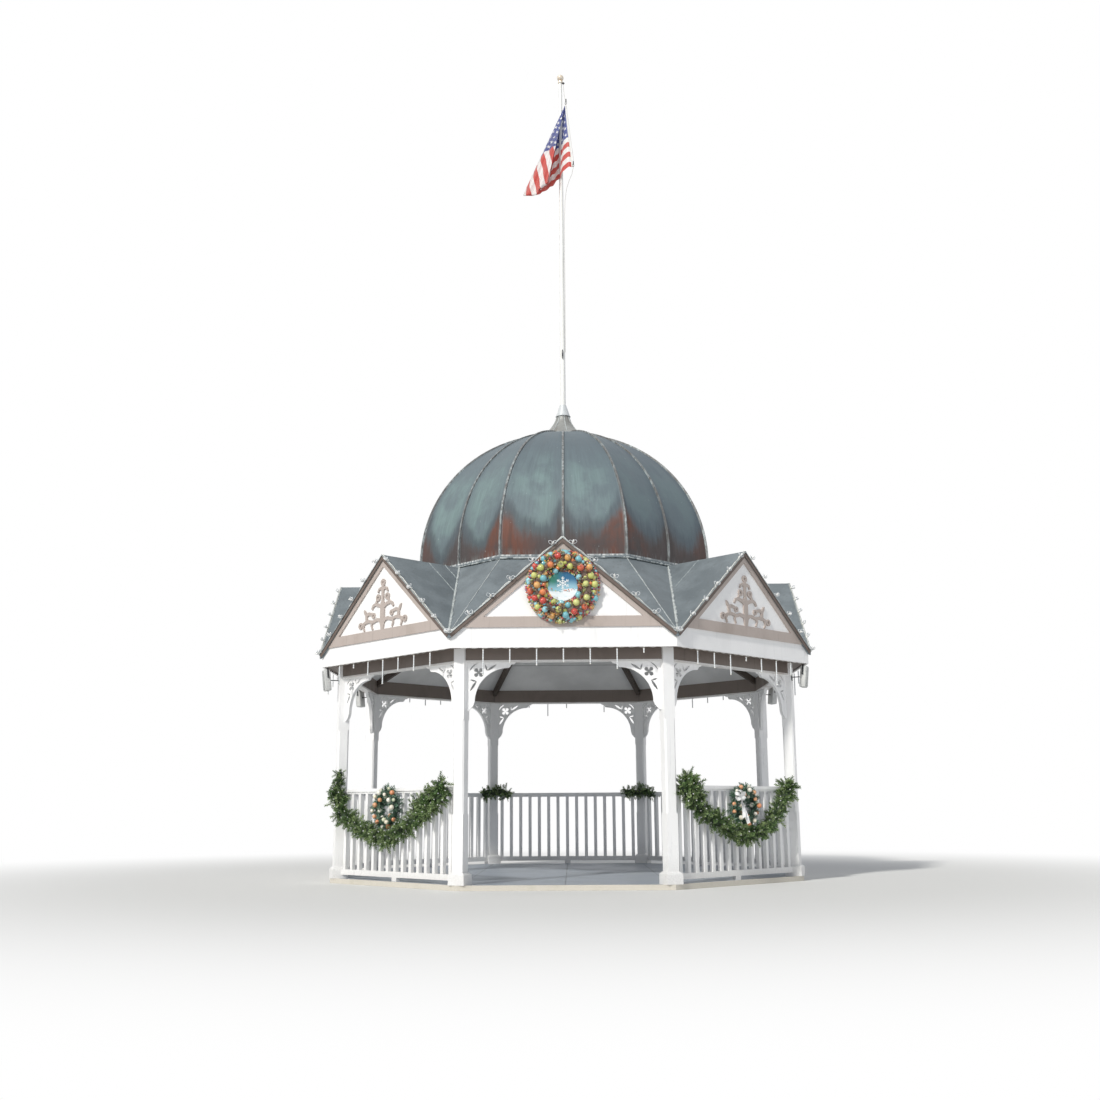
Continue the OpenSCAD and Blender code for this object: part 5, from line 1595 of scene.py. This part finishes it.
ribs = [[flare_point(k * EIGHTH + 0.2, 0.02 + 0.97 * j / 14, 0.002) for j in range(15)] for k in range(8)]
closing = [[flare_point(k / 40 * math.tau, 0.04, 0.004) for k in range(41)]]
grow("trumpet_ribs", bead, paths("ribs", ribs), Width=0.013, Ragged=0.25, Step=0.012, Grain=20.0, Finish=solder)
grow("trumpet_solder", bead, paths("closing", closing), Width=0.014, Ragged=0.5, Step=0.012, Grain=30.0, Finish=solder)
turns = [k / 48 * math.tau for k in range(49)]
lip = paths("lip", [[Vector((0.106 * math.cos(a), 0.106 * math.sin(a), CROWN + 0.294)) for a in turns]])
lead = finishes["lead_grey_collar"]
grow("collar_lip", bead, lip, Width=0.014, Ragged=0.0, Step=0.01, Grain=1.0, Finish=lead)

# %% [markdown]
# ** Loudspeakers.** Four small outdoor boxes hang on short arms high on the side posts, tipped forward so that they
# point down at the crowd. A box is a rounded plastic shell with a perforated grille set into its front. The holes
# are dark cells in the grille's finish, painted shade inside them, with a dent each.

# %% Speaker finishes and rounded boxes
# Moulded ABS: an even, soft sheen over a fine moulded grain. Its off-white is greyed a little, as painted shade
shell_finish, tree, shader, place = new_finish("pale_speaker_plastic", 0.5)
tone = blend_colours(tree, ramp(tree, grain(tree, place, 60, (1, 1, 3), 4.0), 0.4, 0.72), "#D3D4D2", "#BEC0BF")
tree.links.new(tone, shader.inputs["Base Color"])
relief(tree, shader, grain(tree, place, 1.6), 0.15)
# Painted steel with punched holes, which stand 5 mm apart, coarser than real ones, so that they show
grille_finish, tree, shader, place = new_finish("perforated_grille", 0.45, 0.4)
cells = add(tree, "ShaderNodeTexVoronoi", {"Vector": place, "Scale": 210.0, "Randomness": 0.25}).outputs[0]
# The holes are painted near black: painted shade inside them
holes = ramp(tree, cells, 0.36, 0.24)
tree.links.new(blend_colours(tree, holes, "#B6B8B7", "#2D2E30"), shader.inputs["Base Color"])
relief(tree, shader, calc(tree, "SUBTRACT", 1.0, holes), 0.8)
finishes.update({m.name: m for m in (shell_finish, grille_finish)})


def rounded_box(size, radius, steps=3):
    """A box with rounded edges about the origin, as points and faces."""
    made = bmesh.new()
    bmesh.ops.create_cube(made, size=1.0, matrix=Matrix.Diagonal((*size, 1)))
    bmesh.ops.bevel(made, geom=made.edges[:], offset=radius, segments=steps, profile=0.5, affect="EDGES")
    made.verts.index_update()
    some = [tuple(v.co) for v in made.verts]
    corners = [tuple(v.index for v in f.verts) for f in made.faces]
    made.free()
    return some, corners


print("speaker finishes ready")

# %% [markdown]
# A bent steel strap runs over each box and turns on a knob at either end. An arm under the strap reaches back to a
# plate that is screwed to the post. Each speaker is put together in the post's own frame and then turned to its post.

# %% Loudspeakers
ARM_Z = BEAM_FOOT - 0.046


def at_corner(j, out, high, tip=0.0):
    """Matrix for a thing on post j's outward face: local -Y faces out, Z is up, tipped forward."""
    angle = post_angle(j)
    spot = Vector((math.cos(angle) * out, math.sin(angle) * out, high))
    return Matrix.Translation(spot) @ Matrix.Rotation(angle + math.pi / 2, 4, "Z") @ Matrix.Rotation(tip, 4, "X")


knob = lathe([(0, 0), (0.014, 0), (0.014, 0.006), (0.010, 0.009), (0, 0.010)], 14)
shells, grilles, straps = ([], []), ([], []), ([], [])
for j in (1, 2, 5, 6):
    middle = at_corner(j, POST_R + 0.232, ARM_Z, math.radians(6))
    points, faces = shells
    put(rounded_box((0.146, 0.082, 0.284), 0.014), middle)
    points, faces = grilles
    put(rounded_box((0.118, 0.012, 0.252), 0.005, 2), middle @ Matrix.Translation((0, -0.041, 0)))
    points, faces = straps
    put(rounded_box((0.158, 0.022, 0.004), 0.0015, 1), middle @ Matrix.Translation((0, 0.006, 0.150)))
    for hand in (-1, 1):
        put(rounded_box((0.004, 0.022, 0.120), 0.0015, 1), middle @ Matrix.Translation((hand * 0.077, 0.006, 0.092)))
        beside = Matrix.Translation((hand * 0.078, 0.006, 0.036)) @ Matrix.Rotation(hand * math.pi / 2, 4, "Y")
        put(knob, middle @ beside)
    put(rounded_box((0.030, 0.150, 0.010), 0.002, 1), at_corner(j, POST_R + 0.145, ARM_Z))
    put(rounded_box((0.060, 0.006, 0.090), 0.002, 1), at_corner(j, POST_R + 0.0725, ARM_Z))
box_piece = settle("speaker_shells", shape("speaker_shells", *shells, shell_finish))
settle("speaker_grilles", shape("speaker_grilles", *grilles, grille_finish))
settle("speaker_straps", shape("speaker_straps", *straps, fittings))
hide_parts("speakers")
print("four loudspeakers")

# %% [markdown]
# The shapes that the trees repeated are no longer needed.

# %% Clear away the repeated shapes
for held in [o for o in bpy.data.objects if o.name in STAMPS]:
    bpy.data.objects.remove(held)
